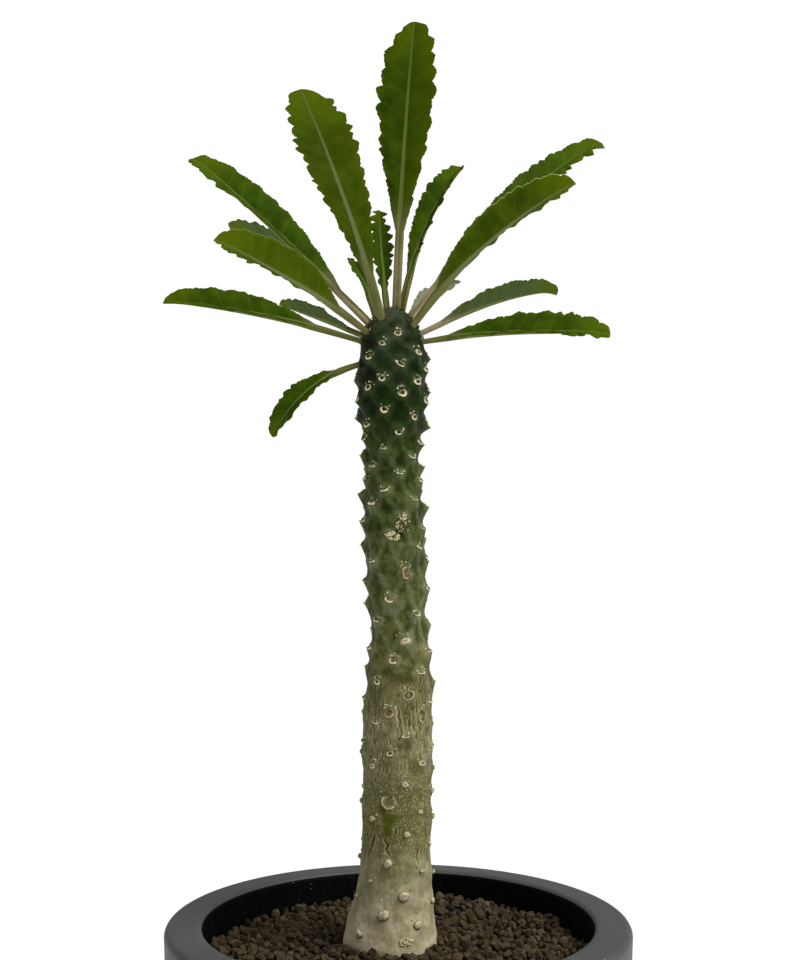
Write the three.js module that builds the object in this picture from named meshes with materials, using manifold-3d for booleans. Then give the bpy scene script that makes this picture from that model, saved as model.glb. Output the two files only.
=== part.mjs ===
// Potted dorstenia: one warty succulent stem crowned with sixteen toothed leaves, standing in a
// round pot of granular substrate. Millimetres, +Z up. The origin is the centre of the pot's
// flat underside. The photograph was taken looking along +Y, with +X to the right.
import * as THREE from 'three';
import { mergeVertices } from 'three/addons/utils/BufferGeometryUtils.js';
import Module from 'manifold-3d';

const wasm = await Module();
wasm.setup();

// Clearance between touching pieces
const GAP = 0.3;

// Pot
const POT_HEIGHT = 88.4;
const POT_SIDES = 40;
const RIM_RADIUS = 75;
const RIM_WIDTH = 12.3;
const RIM_DEPTH = 16;
const RIM_DRAFT = 0.8;
const RIM_OUTER_ROUNDING = 2.5;
const RIM_INNER_ROUNDING = 2;
const RIM_CROWN = 0.5;
const FOOT_RADIUS = 54;
const FOOT_BEVEL = 1.5;
const WALL = 4;
const FLOOR = 4;
const DRAIN_HOLES = 8;
const DRAIN_RADIUS = 2.5;
const DRAIN_CIRCLE = 30;

// Substrate
const SOIL_AT_WALL = 77.8;
const SOIL_AT_STEM = 81.2;
const SOIL_SIDES = 64;
const SOIL_RINGS = 14;
const SOIL_INNER_RADIUS = 11;
const GRAIN_RELIEF = 1.7;
// How far the grains stray from their even places, as shares of the relief, ring pitch and sector
const GRAIN_STRAY = { height: 0.35, radius: 0.28, turn: 0.25 };

// Stem: height, sideways lean of its centre, and radius between the tubercles
const STEM_SIDES = 16;
const STEM_JOIN_TOLERANCE = 0.05;
const STEM_PROFILE = [
  { z: 45, x: -2.4, r: 6 },
  { z: 62, x: -2.4, r: 10 },
  { z: 76, x: -2.4, r: 14.2 },
  { z: 83, x: -2.4, r: 14.6 },
  { z: 91, x: -2.0, r: 13.8 },
  { z: 97, x: -1.2, r: 12.4 },
  { z: 103, x: -0.9, r: 11.5 },
  { z: 112, x: -0.8, r: 11.0 },
  { z: 131, x: -0.4, r: 10.8 },
  { z: 144, x: -0.4, r: 11.0 },
  { z: 157, x: -0.1, r: 10.6 },
  { z: 166, x: 0.4, r: 10.0 },
  { z: 175, x: 0.4, r: 9.2 },
  { z: 181, x: 0.3, r: 8.5 },
  { z: 188, x: -0.2, r: 8.3 },
  { z: 194, x: -0.2, r: 8.8 },
  { z: 204, x: -0.9, r: 8.9 },
  { z: 213, x: -1.1, r: 9.0 },
  { z: 224, x: -1.7, r: 8.4 },
  { z: 235, x: -2.1, r: 7.6 },
  { z: 242, x: -1.7, r: 7.8 },
  { z: 249, x: -1.9, r: 9.5 },
  { z: 258, x: -2.1, r: 10.2 },
  { z: 268, x: -2.1, r: 10.3 },
  { z: 275, x: -2.1, r: 9.6 },
  { z: 280, x: -2.0, r: 7.6 },
  { z: 283.5, x: -1.9, r: 4.6 },
];
const STEM_APEX = { z: 285.2, x: -1.8 };

// Tubercles: thirteen upright rows, filled in spiral order from the crown down
const TUBERCLE_ROWS = 13;
const TUBERCLE_DIVERGENCE = 360 * 5 / TUBERCLE_ROWS;
const TUBERCLE_FIRST_AZIMUTH = 62.3;
const TUBERCLE_FIRST_HEIGHT = 284.2;
const TUBERCLE_HIGHEST = 277;
const TUBERCLE_LOWEST = 86.5;
const TUBERCLE_SIDES = 5;
const TUBERCLE_ROOT = 1.2;
const TUBERCLE_TILT = 18;
const TUBERCLE_CLEAR_OF_LEAF = 5;
// Height, spacing along one row, reach, and radius at the skin and at the scar on the tip
const TUBERCLE_SIZES = [
  { z: 85, pitch: 15.5, reach: 1.1, skin: 2.3, scar: 1.1 },
  { z: 115, pitch: 19.8, reach: 1.1, skin: 2.1, scar: 1.0 },
  { z: 140, pitch: 14, reach: 1.2, skin: 2.1, scar: 1.0 },
  { z: 160, pitch: 13, reach: 1.5, skin: 2.1, scar: 1.0 },
  { z: 180, pitch: 20.6, reach: 1.9, skin: 2.3, scar: 0.9 },
  { z: 205, pitch: 20, reach: 2.2, skin: 2.6, scar: 0.8 },
  { z: 230, pitch: 11.7, reach: 2.4, skin: 2.6, scar: 0.8 },
  { z: 247, pitch: 14.6, reach: 1.9, skin: 2.9, scar: 1.0 },
  { z: 262, pitch: 9, reach: 1.4, skin: 2.9, scar: 1.1 },
  { z: 280, pitch: 9, reach: 1.2, skin: 2.9, scar: 1.2 },
];

// Leaves
const LEAF_ROOT = 3;
const PETIOLE_STEPS = 4;
const RIB_DEPTH_AT_BASE = 1.2;
const RIB_DEPTH_AT_TIP = 0.5;
const RIB_CREST = 0.4;
const BLADE_HALF_THICKNESS = 0.35;
const BLADE_BASE_SHARE = 0.1;
// Powers that round the blade's outline below its widest point and towards its tip
const BLADE_SWELL_POWER = 1.6;
const BLADE_TAPER_POWER = 2.1;
const BLADE_TIP_POWER = 0.6;
const BLADE_END_SHARE = 0.995;
const TOOTH_PITCH = 3.4;
const TOOTH_DEPTH = 1.1;
const RUFFLE_HEIGHT = 0.35;
const TEETH_PER_RUFFLE = 2.6;
const RUFFLE_SHIFT_BETWEEN_EDGES = 2.6;
// Shares of the blade over which the teeth and ruffle fade in from its base and out to its tip
const WAVE_FADE = { from: 0.02, full: 0.2, fading: 0.97 };
// Share of the leaf past the petiole over which the roll and the fold reach their full angle
const TWIST_RUN = 0.1;
// Where each leaf sits on the stem (at: azimuth in degrees, z), which way it heads, how steeply it
// rises at its base and at its tip, its length and width, how far it is rolled about its midrib
// and folded along it, its petiole's width and share of the length, and where its blade is widest
const LEAVES = [
  { at: 50, z: 284.5, heading: 72, rise: [83, 74], length: 94, width: 19, roll: 0,
    fold: 12, stalk: 3.0, petiole: 0.25, peak: 0.66 },
  { at: -125, z: 281.9, heading: -118, rise: [61, 46], length: 81.5, width: 19.8, roll: 2,
    fold: 9, stalk: 4.0, petiole: 0.17, peak: 0.72 },
  { at: 160, z: 280, heading: 152, rise: [42, 37], length: 86, width: 18.5, roll: -8,
    fold: 27, stalk: 2.8, petiole: 0.16, peak: 0.56 },
  { at: 128, z: 278.5, heading: 140, rise: [38, 7], bend: 2, length: 73, width: 13, roll: 21,
    fold: 27, stalk: 2.4, petiole: 0.25, peak: 0.6 },
  { at: 208, z: 277.5, heading: 208, rise: [34, 23], length: 58.5, width: 17.5, roll: 27,
    fold: 30, stalk: 3.0, petiole: 0.2, peak: 0.52 },
  { at: 182, z: 274.8, heading: 172, rise: [16.5, 5.5], length: 65, width: 15.5, roll: -26,
    fold: 28, stalk: 2.6, petiole: 0.22, peak: 0.56 },
  { at: 150, z: 276, heading: 145, rise: [18, 15], length: 36.5, width: 11, roll: 20,
    fold: 32, stalk: 2.4, petiole: 0.18, peak: 0.5 },
  { at: 190, z: 267.5, heading: 200, rise: [-15, -62], length: 37.5, width: 11, roll: -25,
    fold: 25, stalk: 2.4, petiole: 0.18, peak: 0.55 },
  { at: 150, z: 282, heading: 150, rise: [74, 48], length: 21.5, width: 8, roll: -10,
    fold: 25, stalk: 2.0, petiole: 0.3, peak: 0.5 },
  { at: 123, z: 284.1, heading: 115, rise: [73, 83], length: 32.5, width: 7.6, roll: 0,
    fold: 16, stalk: 2.0, petiole: 0.15, peak: 0.62 },
  { at: 59, z: 282.8, heading: 55, rise: [73, 35], length: 61, width: 12, roll: 0,
    fold: 33, stalk: 2.4, petiole: 0.2, peak: 0.62 },
  { at: 30, z: 281.3, heading: 28, rise: [50, 29], length: 93, width: 13.5, roll: 21.5,
    fold: 30.5, stalk: 2.8, petiole: 0.13, peak: 0.6 },
  { at: -30, z: 279.8, heading: -24, rise: [51, 27], length: 68.5, width: 17.5, roll: -25,
    fold: 32, stalk: 3.4, petiole: 0.17, peak: 0.52 },
  { at: 12, z: 277, heading: 12, rise: [24, 2], bend: 2, length: 47.5, width: 15, roll: -12,
    fold: 37, stalk: 2.6, petiole: 0.14, peak: 0.52 },
  { at: -8, z: 274.6, heading: -5, rise: [8, -4], length: 59, width: 16, roll: 26,
    fold: 27, stalk: 2.4, petiole: 0.12, peak: 0.55 },
  { at: 75, z: 279, heading: 62, rise: [26, 14], length: 45, width: 11, roll: 8,
    fold: 22, stalk: 2.2, petiole: 0.18, peak: 0.5 },
];

// Materials
const POT_MATERIAL = new THREE.MeshStandardMaterial({ color: 0x3b3d3e, roughness: 0.55, metalness: 0 });
const SOIL_MATERIAL = new THREE.MeshStandardMaterial({ color: 0x4a3f35, roughness: 0.95, metalness: 0 });
const STEM_MATERIAL = new THREE.MeshStandardMaterial({ color: 0x5f6b45, roughness: 0.6, metalness: 0 });

// Shared helpers
const radians = THREE.MathUtils.degToRad;
const lerp = THREE.MathUtils.lerp;
const smoothstep = THREE.MathUtils.smoothstep;

// Reads one field of a list that is ordered by rising z, between its points
function readAlong(list, z, field) {
  const upper = list.findIndex((point) => point.z >= z);
  if (upper === 0) return list[0][field];
  if (upper < 0) return list[list.length - 1][field];
  const low = list[upper - 1];
  const high = list[upper];
  return lerp(low[field], high[field], (z - low.z) / (high.z - low.z));
}

// A repeatable value between -1 and 1 that looks random from one number to the next
function stray(number, channel) {
  return Math.sin(number * (3.1 + 4.7 * channel));
}

// A closed skin over rings of equal count, with a point closing each end. Quads whose place in
// the ring is listed in flipped are split along their other diagonal.
function loft(rings, start, end, flipped = []) {
  const count = rings[0].length;
  const points = [start, ...rings.flat(), end];
  const last = points.length - 1;
  const triangles = [];
  for (let j = 0; j < count; j++) {
    const next = (j + 1) % count;
    triangles.push(0, 1 + next, 1 + j);
    for (let i = 0; i < rings.length - 1; i++) {
      const a = 1 + i * count + j;
      const b = 1 + i * count + next;
      const c = b + count;
      const d = a + count;
      if (flipped.includes(j)) triangles.push(a, b, d, b, c, d);
      else triangles.push(a, b, c, a, c, d);
    }
    triangles.push(last, last - count + j, last - count + next);
  }
  const geometry = new THREE.BufferGeometry().setFromPoints(points);
  geometry.setIndex(triangles);
  return facingOut(geometry);
}

// Turns every triangle over if the skin's signed volume is negative
function facingOut(geometry) {
  const index = geometry.getIndex();
  const position = geometry.getAttribute('position');
  const corners = [new THREE.Vector3(), new THREE.Vector3(), new THREE.Vector3()];
  let volume = 0;
  for (let i = 0; i < index.count; i += 3) {
    corners.forEach((corner, k) => corner.fromBufferAttribute(position, index.getX(i + k)));
    volume += corners[0].dot(corners[1].cross(corners[2]));
  }
  if (volume < 0) {
    for (let i = 0; i < index.count; i += 3) {
      const first = index.getX(i);
      index.setX(i, index.getX(i + 1));
      index.setX(i + 1, first);
    }
  }
  return geometry;
}

function toSolid(geometry) {
  const bare = new THREE.BufferGeometry();
  bare.setAttribute('position', geometry.getAttribute('position'));
  bare.setIndex(geometry.getIndex());
  const merged = mergeVertices(bare, 1e-4);
  const vertProperties = new Float32Array(merged.getAttribute('position').array);
  const triVerts = new Uint32Array(merged.getIndex().array);
  return new wasm.Manifold(new wasm.Mesh({ numProp: 3, vertProperties, triVerts }));
}

// The largest body of a solid, with any scrap that a cut left behind dropped
function toGeometry(solid) {
  const bodies = solid.decompose().sort((a, b) => b.volume() - a.volume());
  const mesh = bodies[0].getMesh();
  const geometry = new THREE.BufferGeometry();
  geometry.setAttribute('position', new THREE.BufferAttribute(new Float32Array(mesh.vertProperties), 3));
  geometry.setIndex(new THREE.BufferAttribute(new Uint32Array(mesh.triVerts), 1));
  geometry.computeVertexNormals();
  return geometry;
}

function arc(centreR, centreZ, radius, from, to, steps) {
  const points = [];
  for (let i = 0; i <= steps; i++) {
    const angle = radians(lerp(from, to, i / steps));
    points.push(new THREE.Vector2(centreR + radius * Math.cos(angle), centreZ + radius * Math.sin(angle)));
  }
  return points;
}

// Pot: a tapering body, a thick flat rim and a floor with a circle of drain holes
const MOUTH_RADIUS = RIM_RADIUS - RIM_WIDTH;
const COLLAR_BOTTOM = POT_HEIGHT - RIM_DEPTH;

function potInnerRadius(z) {
  return lerp(FOOT_RADIUS - WALL, MOUTH_RADIUS, Math.min(1, z / COLLAR_BOTTOM));
}

function potSolid() {
  const outerTop = POT_HEIGHT - RIM_CROWN - RIM_OUTER_ROUNDING;
  const innerTop = POT_HEIGHT - RIM_INNER_ROUNDING;
  const profile = [
    new THREE.Vector2(0, 0),
    new THREE.Vector2(FOOT_RADIUS - FOOT_BEVEL, 0),
    new THREE.Vector2(FOOT_RADIUS, FOOT_BEVEL),
    new THREE.Vector2(MOUTH_RADIUS + WALL, COLLAR_BOTTOM),
    new THREE.Vector2(RIM_RADIUS - RIM_DRAFT, COLLAR_BOTTOM),
    ...arc(RIM_RADIUS - RIM_OUTER_ROUNDING, outerTop, RIM_OUTER_ROUNDING, 0, 90, 3),
    ...arc(MOUTH_RADIUS + RIM_INNER_ROUNDING, innerTop, RIM_INNER_ROUNDING, 90, 180, 3),
    new THREE.Vector2(potInnerRadius(COLLAR_BOTTOM), COLLAR_BOTTOM),
    new THREE.Vector2(potInnerRadius(FLOOR), FLOOR),
    new THREE.Vector2(0, FLOOR),
  ];
  const body = new THREE.LatheGeometry(profile, POT_SIDES).rotateX(Math.PI / 2);
  let pot = toSolid(facingOut(body));
  for (let i = 0; i < DRAIN_HOLES; i++) {
    const azimuth = 2 * Math.PI * i / DRAIN_HOLES;
    const drill = new THREE.CylinderGeometry(DRAIN_RADIUS, DRAIN_RADIUS, 3 * FLOOR, 8).rotateX(Math.PI / 2);
    drill.translate(DRAIN_CIRCLE * Math.cos(azimuth), DRAIN_CIRCLE * Math.sin(azimuth), FLOOR / 2);
    pot = pot.subtract(toSolid(drill));
  }
  return pot;
}

// Stem: a leaning column grown outwards by a given clearance, so that it can also cut its sockets
function stemBody(grow) {
  const rings = STEM_PROFILE.map((point, i) => {
    const before = STEM_PROFILE[Math.max(0, i - 1)];
    const after = STEM_PROFILE[i + 1] ?? { ...STEM_APEX, r: 0 };
    const slope = new THREE.Vector2(after.z - before.z, before.r - after.r).normalize();
    const lift = i === 0 ? -grow : grow * slope.y;
    const ring = [];
    for (let j = 0; j < STEM_SIDES; j++) {
      const azimuth = 2 * Math.PI * j / STEM_SIDES;
      const radius = point.r + grow * slope.x;
      const x = point.x + radius * Math.cos(azimuth);
      ring.push(new THREE.Vector3(x, radius * Math.sin(azimuth), point.z + lift));
    }
    return ring;
  });
  const foot = new THREE.Vector3(STEM_PROFILE[0].x, 0, STEM_PROFILE[0].z - grow);
  const apex = new THREE.Vector3(STEM_APEX.x, 0, STEM_APEX.z + grow);
  return toSolid(loft(rings, foot, apex));
}

function onStem(azimuth, z) {
  const radius = z > STEM_PROFILE.at(-1).z
    ? STEM_PROFILE.at(-1).r * (STEM_APEX.z - z) / (STEM_APEX.z - STEM_PROFILE.at(-1).z)
    : readAlong(STEM_PROFILE, z, 'r');
  const x = readAlong(STEM_PROFILE, z, 'x') + radius * Math.cos(azimuth);
  return new THREE.Vector3(x, radius * Math.sin(azimuth), z);
}

// One tubercle: a short cone that leans up out of the skin and ends in a flat leaf scar
function tubercle(azimuth, z) {
  const reach = readAlong(TUBERCLE_SIZES, z, 'reach');
  const skin = readAlong(TUBERCLE_SIZES, z, 'skin');
  const scar = readAlong(TUBERCLE_SIZES, z, 'scar');
  const tilt = radians(TUBERCLE_TILT);
  const outward = new THREE.Vector3(
    Math.cos(azimuth) * Math.cos(tilt),
    Math.sin(azimuth) * Math.cos(tilt),
    Math.sin(tilt),
  );
  const side = new THREE.Vector3(-Math.sin(azimuth), Math.cos(azimuth), 0);
  const up = new THREE.Vector3().crossVectors(outward, side);
  const foot = onStem(azimuth, z).addScaledVector(outward, -TUBERCLE_ROOT);
  const tip = onStem(azimuth, z).addScaledVector(outward, reach);
  const rings = [[foot, skin * (1 + TUBERCLE_ROOT / reach / 2)], [tip, scar]].map(([centre, radius]) => {
    const ring = [];
    for (let j = 0; j < TUBERCLE_SIDES; j++) {
      const turn = 2 * Math.PI * (j + 0.25) / TUBERCLE_SIDES;
      const point = centre.clone().addScaledVector(side, radius * Math.cos(turn));
      ring.push(point.addScaledVector(up, radius * Math.sin(turn)));
    }
    return ring;
  });
  return toSolid(loft(rings, foot, tip));
}

function tubercles() {
  const solids = [];
  let z = TUBERCLE_FIRST_HEIGHT;
  for (let k = 0; z > TUBERCLE_LOWEST; k++) {
    const azimuth = radians(TUBERCLE_FIRST_AZIMUTH + k * TUBERCLE_DIVERGENCE);
    const place = onStem(azimuth, z);
    const taken = LEAVES.some((leaf) => {
      return onStem(radians(leaf.at), leaf.z).distanceTo(place) < TUBERCLE_CLEAR_OF_LEAF;
    });
    if (z < TUBERCLE_HIGHEST && !taken) solids.push(tubercle(azimuth, z));
    z -= readAlong(TUBERCLE_SIZES, z, 'pitch') / TUBERCLE_ROWS;
  }
  return solids;
}

// Substrate: fills the pot, with its top raised into granules and a plain hole for the stem
function soilSolid() {
  const bottom = FLOOR + GAP;
  const insideFacets = Math.cos(Math.PI / POT_SIDES);
  const rings = [];
  for (let i = 0; i <= SOIL_RINGS; i++) {
    const share = i / SOIL_RINGS;
    const level = lerp(SOIL_AT_STEM, SOIL_AT_WALL, share);
    const edge = potInnerRadius(level) * insideFacets - GAP;
    const atWall = i === SOIL_RINGS;
    const pitch = (edge - SOIL_INNER_RADIUS) / SOIL_RINGS;
    const ring = [];
    for (let j = 0; j < SOIL_SIDES; j++) {
      const grain = i * SOIL_SIDES + j;
      const crest = (i + j) % 2 === 0 ? 0.5 : -0.5;
      const lift = GRAIN_RELIEF * (crest + GRAIN_STRAY.height * stray(grain, 1));
      const radialStray = atWall ? 0 : GRAIN_STRAY.radius * pitch * stray(grain, 2);
      const turnStray = atWall ? 0 : GRAIN_STRAY.turn * stray(grain, 3);
      const radius = lerp(SOIL_INNER_RADIUS, edge, share) + radialStray;
      const azimuth = 2 * Math.PI * (j + turnStray) / SOIL_SIDES;
      ring.push(new THREE.Vector3(radius * Math.cos(azimuth), radius * Math.sin(azimuth), level + lift));
    }
    rings.push(ring);
  }
  for (const z of [SOIL_AT_WALL - 2 * GRAIN_RELIEF, bottom]) {
    const radius = potInnerRadius(z) * insideFacets - GAP;
    rings.push(rings.at(-1).map((_, j) => {
      const azimuth = 2 * Math.PI * j / SOIL_SIDES;
      return new THREE.Vector3(radius * Math.cos(azimuth), radius * Math.sin(azimuth), z);
    }));
  }
  const top = new THREE.Vector3(0, 0, SOIL_AT_STEM);
  const base = new THREE.Vector3(0, 0, bottom);
  return toSolid(loft(rings, top, base)).subtract(stemBody(GAP));
}

// The blade's half width as a share of its widest, t along the blade from its base to its tip
function bladeOutline(t, peak) {
  if (t < peak) return BLADE_BASE_SHARE + (1 - BLADE_BASE_SHARE) * (1 - (1 - t / peak) ** BLADE_SWELL_POWER);
  return (1 - ((t - peak) / (1 - peak)) ** BLADE_TAPER_POWER) ** BLADE_TIP_POWER;
}

// One leaf as a skin of six points a station: left edge, midrib and right edge on both faces. The
// edges step out and in at every station for the teeth, and rise and fall for the ruffle.
function leafSolid(leaf) {
  const bladeLength = leaf.length * (1 - leaf.petiole);
  const bladeSteps = Math.round(2 * bladeLength / TOOTH_PITCH);
  const shares = [];
  for (let i = 0; i < PETIOLE_STEPS; i++) shares.push(leaf.petiole * i / PETIOLE_STEPS);
  for (let i = 0; i < bladeSteps; i++) shares.push(lerp(leaf.petiole, 1, i / bladeSteps));
  shares.push(BLADE_END_SHARE);

  const heading = radians(leaf.heading);
  const direction = (share) => {
    const rise = radians(lerp(leaf.rise[0], leaf.rise[1], share ** (leaf.bend ?? 1)));
    return new THREE.Vector3(
      Math.cos(rise) * Math.cos(heading),
      Math.cos(rise) * Math.sin(heading),
      Math.sin(rise),
    );
  };
  const spine = onStem(radians(leaf.at), leaf.z).addScaledVector(direction(0), -LEAF_ROOT);
  const rings = [];
  let previous = -LEAF_ROOT / leaf.length;
  shares.unshift(previous);
  shares.forEach((share, station) => {
    spine.addScaledVector(direction(Math.max(0, (share + previous) / 2)), (share - previous) * leaf.length);
    previous = share;
    const along = direction(Math.max(0, share));
    const level = new THREE.Vector3(-Math.sin(heading), Math.cos(heading), 0);
    const upright = new THREE.Vector3().crossVectors(along, level);
    const spread = smoothstep(share, 0, leaf.petiole + TWIST_RUN);
    const roll = radians(leaf.roll) * spread;
    const side = level.clone().multiplyScalar(Math.cos(roll)).addScaledVector(upright, Math.sin(roll));
    const up = upright.clone().multiplyScalar(Math.cos(roll)).addScaledVector(level, -Math.sin(roll));

    const t = Math.max(0, (share - leaf.petiole) / (1 - leaf.petiole));
    const fadeOut = 1 - smoothstep(t, WAVE_FADE.fading, 1);
    const inBlade = smoothstep(t, WAVE_FADE.from, WAVE_FADE.full) * fadeOut;
    const ribDepth = lerp(RIB_DEPTH_AT_BASE, RIB_DEPTH_AT_TIP, t);
    const smooth = Math.max(bladeOutline(t, leaf.peak) * leaf.width / 2, leaf.stalk / 2 * (1 - t));
    const edges = [1, -1].map((hand) => {
      const tooth = (station % 2 === 0 ? 0.5 : -0.5) * TOOTH_DEPTH * inBlade;
      const shift = leaf.length + hand * RUFFLE_SHIFT_BETWEEN_EDGES / 2;
      const phase = Math.PI * station / TEETH_PER_RUFFLE + shift;
      const ruffle = RUFFLE_HEIGHT * Math.sin(phase) * inBlade;
      const fold = radians(leaf.fold) * spread;
      const outward = side.clone().multiplyScalar(hand * Math.cos(fold)).addScaledVector(up, Math.sin(fold));
      const face = up.clone().multiplyScalar(Math.cos(fold)).addScaledVector(side, -hand * Math.sin(fold));
      const edge = spine.clone().addScaledVector(outward, smooth + tooth).addScaledVector(face, ruffle);
      return {
        top: edge.clone().addScaledVector(face, BLADE_HALF_THICKNESS),
        bottom: edge.clone().addScaledVector(face, -BLADE_HALF_THICKNESS),
      };
    });
    rings.push([
      edges[0].top,
      spine.clone().addScaledVector(up, RIB_CREST),
      edges[1].top,
      edges[1].bottom,
      spine.clone().addScaledVector(up, -ribDepth),
      edges[0].bottom,
    ]);
  });
  const centre = (ring) => ring.reduce((sum, point) => sum.add(point), new THREE.Vector3()).divideScalar(6);
  return toSolid(loft(rings, centre(rings[0]), centre(rings.at(-1)), [3, 4]));
}

// The assembly
const plant = new THREE.Group();
plant.name = 'potted_dorstenia';

function addPiece(name, solid, material) {
  const mesh = new THREE.Mesh(toGeometry(solid), material);
  mesh.name = name;
  plant.add(mesh);
}

addPiece('pot', potSolid(), POT_MATERIAL);
addPiece('substrate', soilSolid(), SOIL_MATERIAL);
const warty = wasm.Manifold.union([stemBody(0), ...tubercles()]);
const stem = warty.asOriginal().simplify(STEM_JOIN_TOLERANCE);
addPiece('stem', stem, STEM_MATERIAL);

const socket = stemBody(GAP);
LEAVES.forEach((leaf, i) => {
  const green = new THREE.Color().setHSL(0.27, 0.5, 0.2 + 0.02 * Math.sin(3 * i));
  const material = new THREE.MeshStandardMaterial({ color: green, roughness: 0.5, metalness: 0 });
  addPiece(`leaf_${String(i + 1).padStart(2, '0')}`, leafSolid(leaf).subtract(socket), material);
});

export default plant;
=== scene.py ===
# Looks of the potted dorstenia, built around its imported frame. Formulas are in millimetres,
# colours are the eye's 0 to 255 values, and meshes are made in metres.
from collections import namedtuple
from math import cos, pi, radians, sin, sqrt
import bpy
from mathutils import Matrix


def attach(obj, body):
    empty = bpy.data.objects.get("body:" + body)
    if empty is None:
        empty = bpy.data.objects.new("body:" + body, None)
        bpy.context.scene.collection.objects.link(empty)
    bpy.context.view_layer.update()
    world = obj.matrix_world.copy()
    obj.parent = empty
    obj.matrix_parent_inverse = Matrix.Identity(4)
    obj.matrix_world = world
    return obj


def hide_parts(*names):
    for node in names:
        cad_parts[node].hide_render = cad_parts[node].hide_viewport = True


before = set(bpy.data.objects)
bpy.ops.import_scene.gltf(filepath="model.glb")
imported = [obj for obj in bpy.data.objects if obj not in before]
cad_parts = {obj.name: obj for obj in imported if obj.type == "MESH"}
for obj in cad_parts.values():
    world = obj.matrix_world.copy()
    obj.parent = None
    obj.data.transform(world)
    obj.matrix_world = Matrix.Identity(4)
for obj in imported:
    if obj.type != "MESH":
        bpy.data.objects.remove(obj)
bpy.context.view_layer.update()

from types import SimpleNamespace

import bmesh
import bpy
import numpy as np
from mathutils import Euler, Vector, noise

MM = 0.001
GAP = 0.3
SEED = 41

# Camera: the photograph's frame and lens in pixels, its place, and how far it looks down
FRAME_HEIGHT = 960
FOCAL_LENGTH = 2058
SENSOR = 36
CAMERA_PLACE = (0.5, -650, 277)
CAMERA_TILT = 4.09

# Studio: where the key light stands (azimuth from +X and height in degrees), and its strength
KEY_AZIMUTH = -28
KEY_HEIGHT = 51
KEY_SPREAD = 38
KEY_STRENGTH = 3.12
FILL_STRENGTH = 0.36
SEEN_STRENGTH = 1.05
FLOOR_RADIUS = 6000

# Pot
POT_HEIGHT = 88.4
POT_COLUMNS = 192
RIM_RADIUS = 75
RIM_WIDTH = 12.3
RIM_DEPTH = 16
RIM_DRAFT = 0.3
RIM_OUTER_ROUNDING = 2.5
RIM_INNER_ROUNDING = 2
RIM_CROWN = 0.5
FOOT_RADIUS = 54
FOOT_BEVEL = 1.5
WALL = 4
FLOOR = 4
DRAIN_HOLES = 8
DRAIN_RADIUS = 2.5
DRAIN_CIRCLE = 30
MOUTH_RADIUS = RIM_RADIUS - RIM_WIDTH
COLLAR_BOTTOM = POT_HEIGHT - RIM_DEPTH

# Substrate
SOIL_AT_WALL = 77.8
SOIL_AT_STEM = 81.2
SOIL_COLUMNS = 120
# Low heaps: x, y, width and height
SOIL_HEAPS = ((18, 50, 17, 1.5), (46, 36, 14, 1.2), (-42, 34, 15, -0.8))
BED_BELOW_GRAINS = 1.3
BED_RINGS = 30
GRAINS_FROM = 15.2
GRAIN_COUNT = 1200
# Layers of grains: name, lift, and least and greatest radius
GRAIN_LAYERS = (("substrate_grains_lower", -0.5, 1.3, 2.3), ("substrate_grains_upper", 1.2, 0.85, 2.5))
GOLDEN_ANGLE = pi * (3 - sqrt(5))
GRAIN_CUTS = 10

# Stem: height, sideways lean of its centre, and radius between the tubercles
STEM_PROFILE = (
    (45, -2.4, 6), (62, -2.4, 10), (76, -2.6, 15.2), (83, -2.6, 15.2), (91, -2.2, 13.4),
    (97, -1.4, 12.4), (103, -0.9, 11.5), (112, -0.8, 11.0), (131, -0.4, 10.8), (144, -0.4, 11.0),
    (157, -0.1, 10.6), (166, 0.4, 10.0), (175, 0.4, 9.2), (181, 0.3, 8.5), (188, -0.2, 8.3),
    (194, -0.2, 8.8), (204, -0.9, 8.9), (213, -1.1, 9.0), (224, -1.7, 8.4), (235, -2.1, 7.6),
    (242, -1.7, 7.8), (249, -1.9, 9.5), (258, -2.1, 10.2), (268, -2.1, 10.3), (275, -2.1, 9.6),
    (280, -2.0, 7.6), (283.5, -1.9, 4.6),
)
STEM_APEX = (285.2, -1.8)
STEM_X_AT_SOIL = STEM_PROFILE[3][1]
# Height above which the skin is modelled finely, and the heights that its colours span
STEM_FINE_FROM = 77
STEM_COLOURS_SPAN = (80, 286)
STEM_COLUMNS = 208
STEM_ROW_PITCH = 0.46
STEM_BURIED_PITCH = 4
STEM_SMOOTHING = 5

# Tubercles: thirteen upright rows, filled in spiral order from the crown down
TUBERCLE_DIVERGENCE = 360 * 5 / 13
TUBERCLE_ROWS = 13
TUBERCLE_FIRST_AZIMUTH = 62.3
TUBERCLE_FIRST_HEIGHT = 284.2
TUBERCLE_HIGHEST = 277
TUBERCLE_LOWEST = 86.5
TUBERCLE_CLEAR_OF_LEAF = 5
TUBERCLE_FIELD = 11
# Height, spacing along one row, reach, and radius of the leaf scar on the tip
TUBERCLE_SIZES = (
    (85, 15.5, 0.3, 1.4), (115, 19.8, 0.25, 1.25), (140, 14, 0.5, 1.3), (160, 13, 0.7, 1.25),
    (180, 20.6, 1.3, 1.2), (205, 20, 1.75, 1.15), (230, 11.7, 1.9, 1.15), (247, 14.6, 1.6, 1.2),
    (262, 9, 1.2, 1.25), (280, 9, 0.9, 1.15),
)
# How far a tubercle's flank runs above and below its tip on the neck and on the crown
FLANK_ABOVE = (3.3, 4.4)
FLANK_BELOW = (4.0, 2.6)
FLANK_BESIDE = 3.1
FLANK_POWER = 1.45
CROWN_FROM = 238
CROWN_FULL = 250
# Ridges join each tubercle to these later ones, which lie below it to its left and to its right
RIDGE_STEPS = (5, 8)

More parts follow.
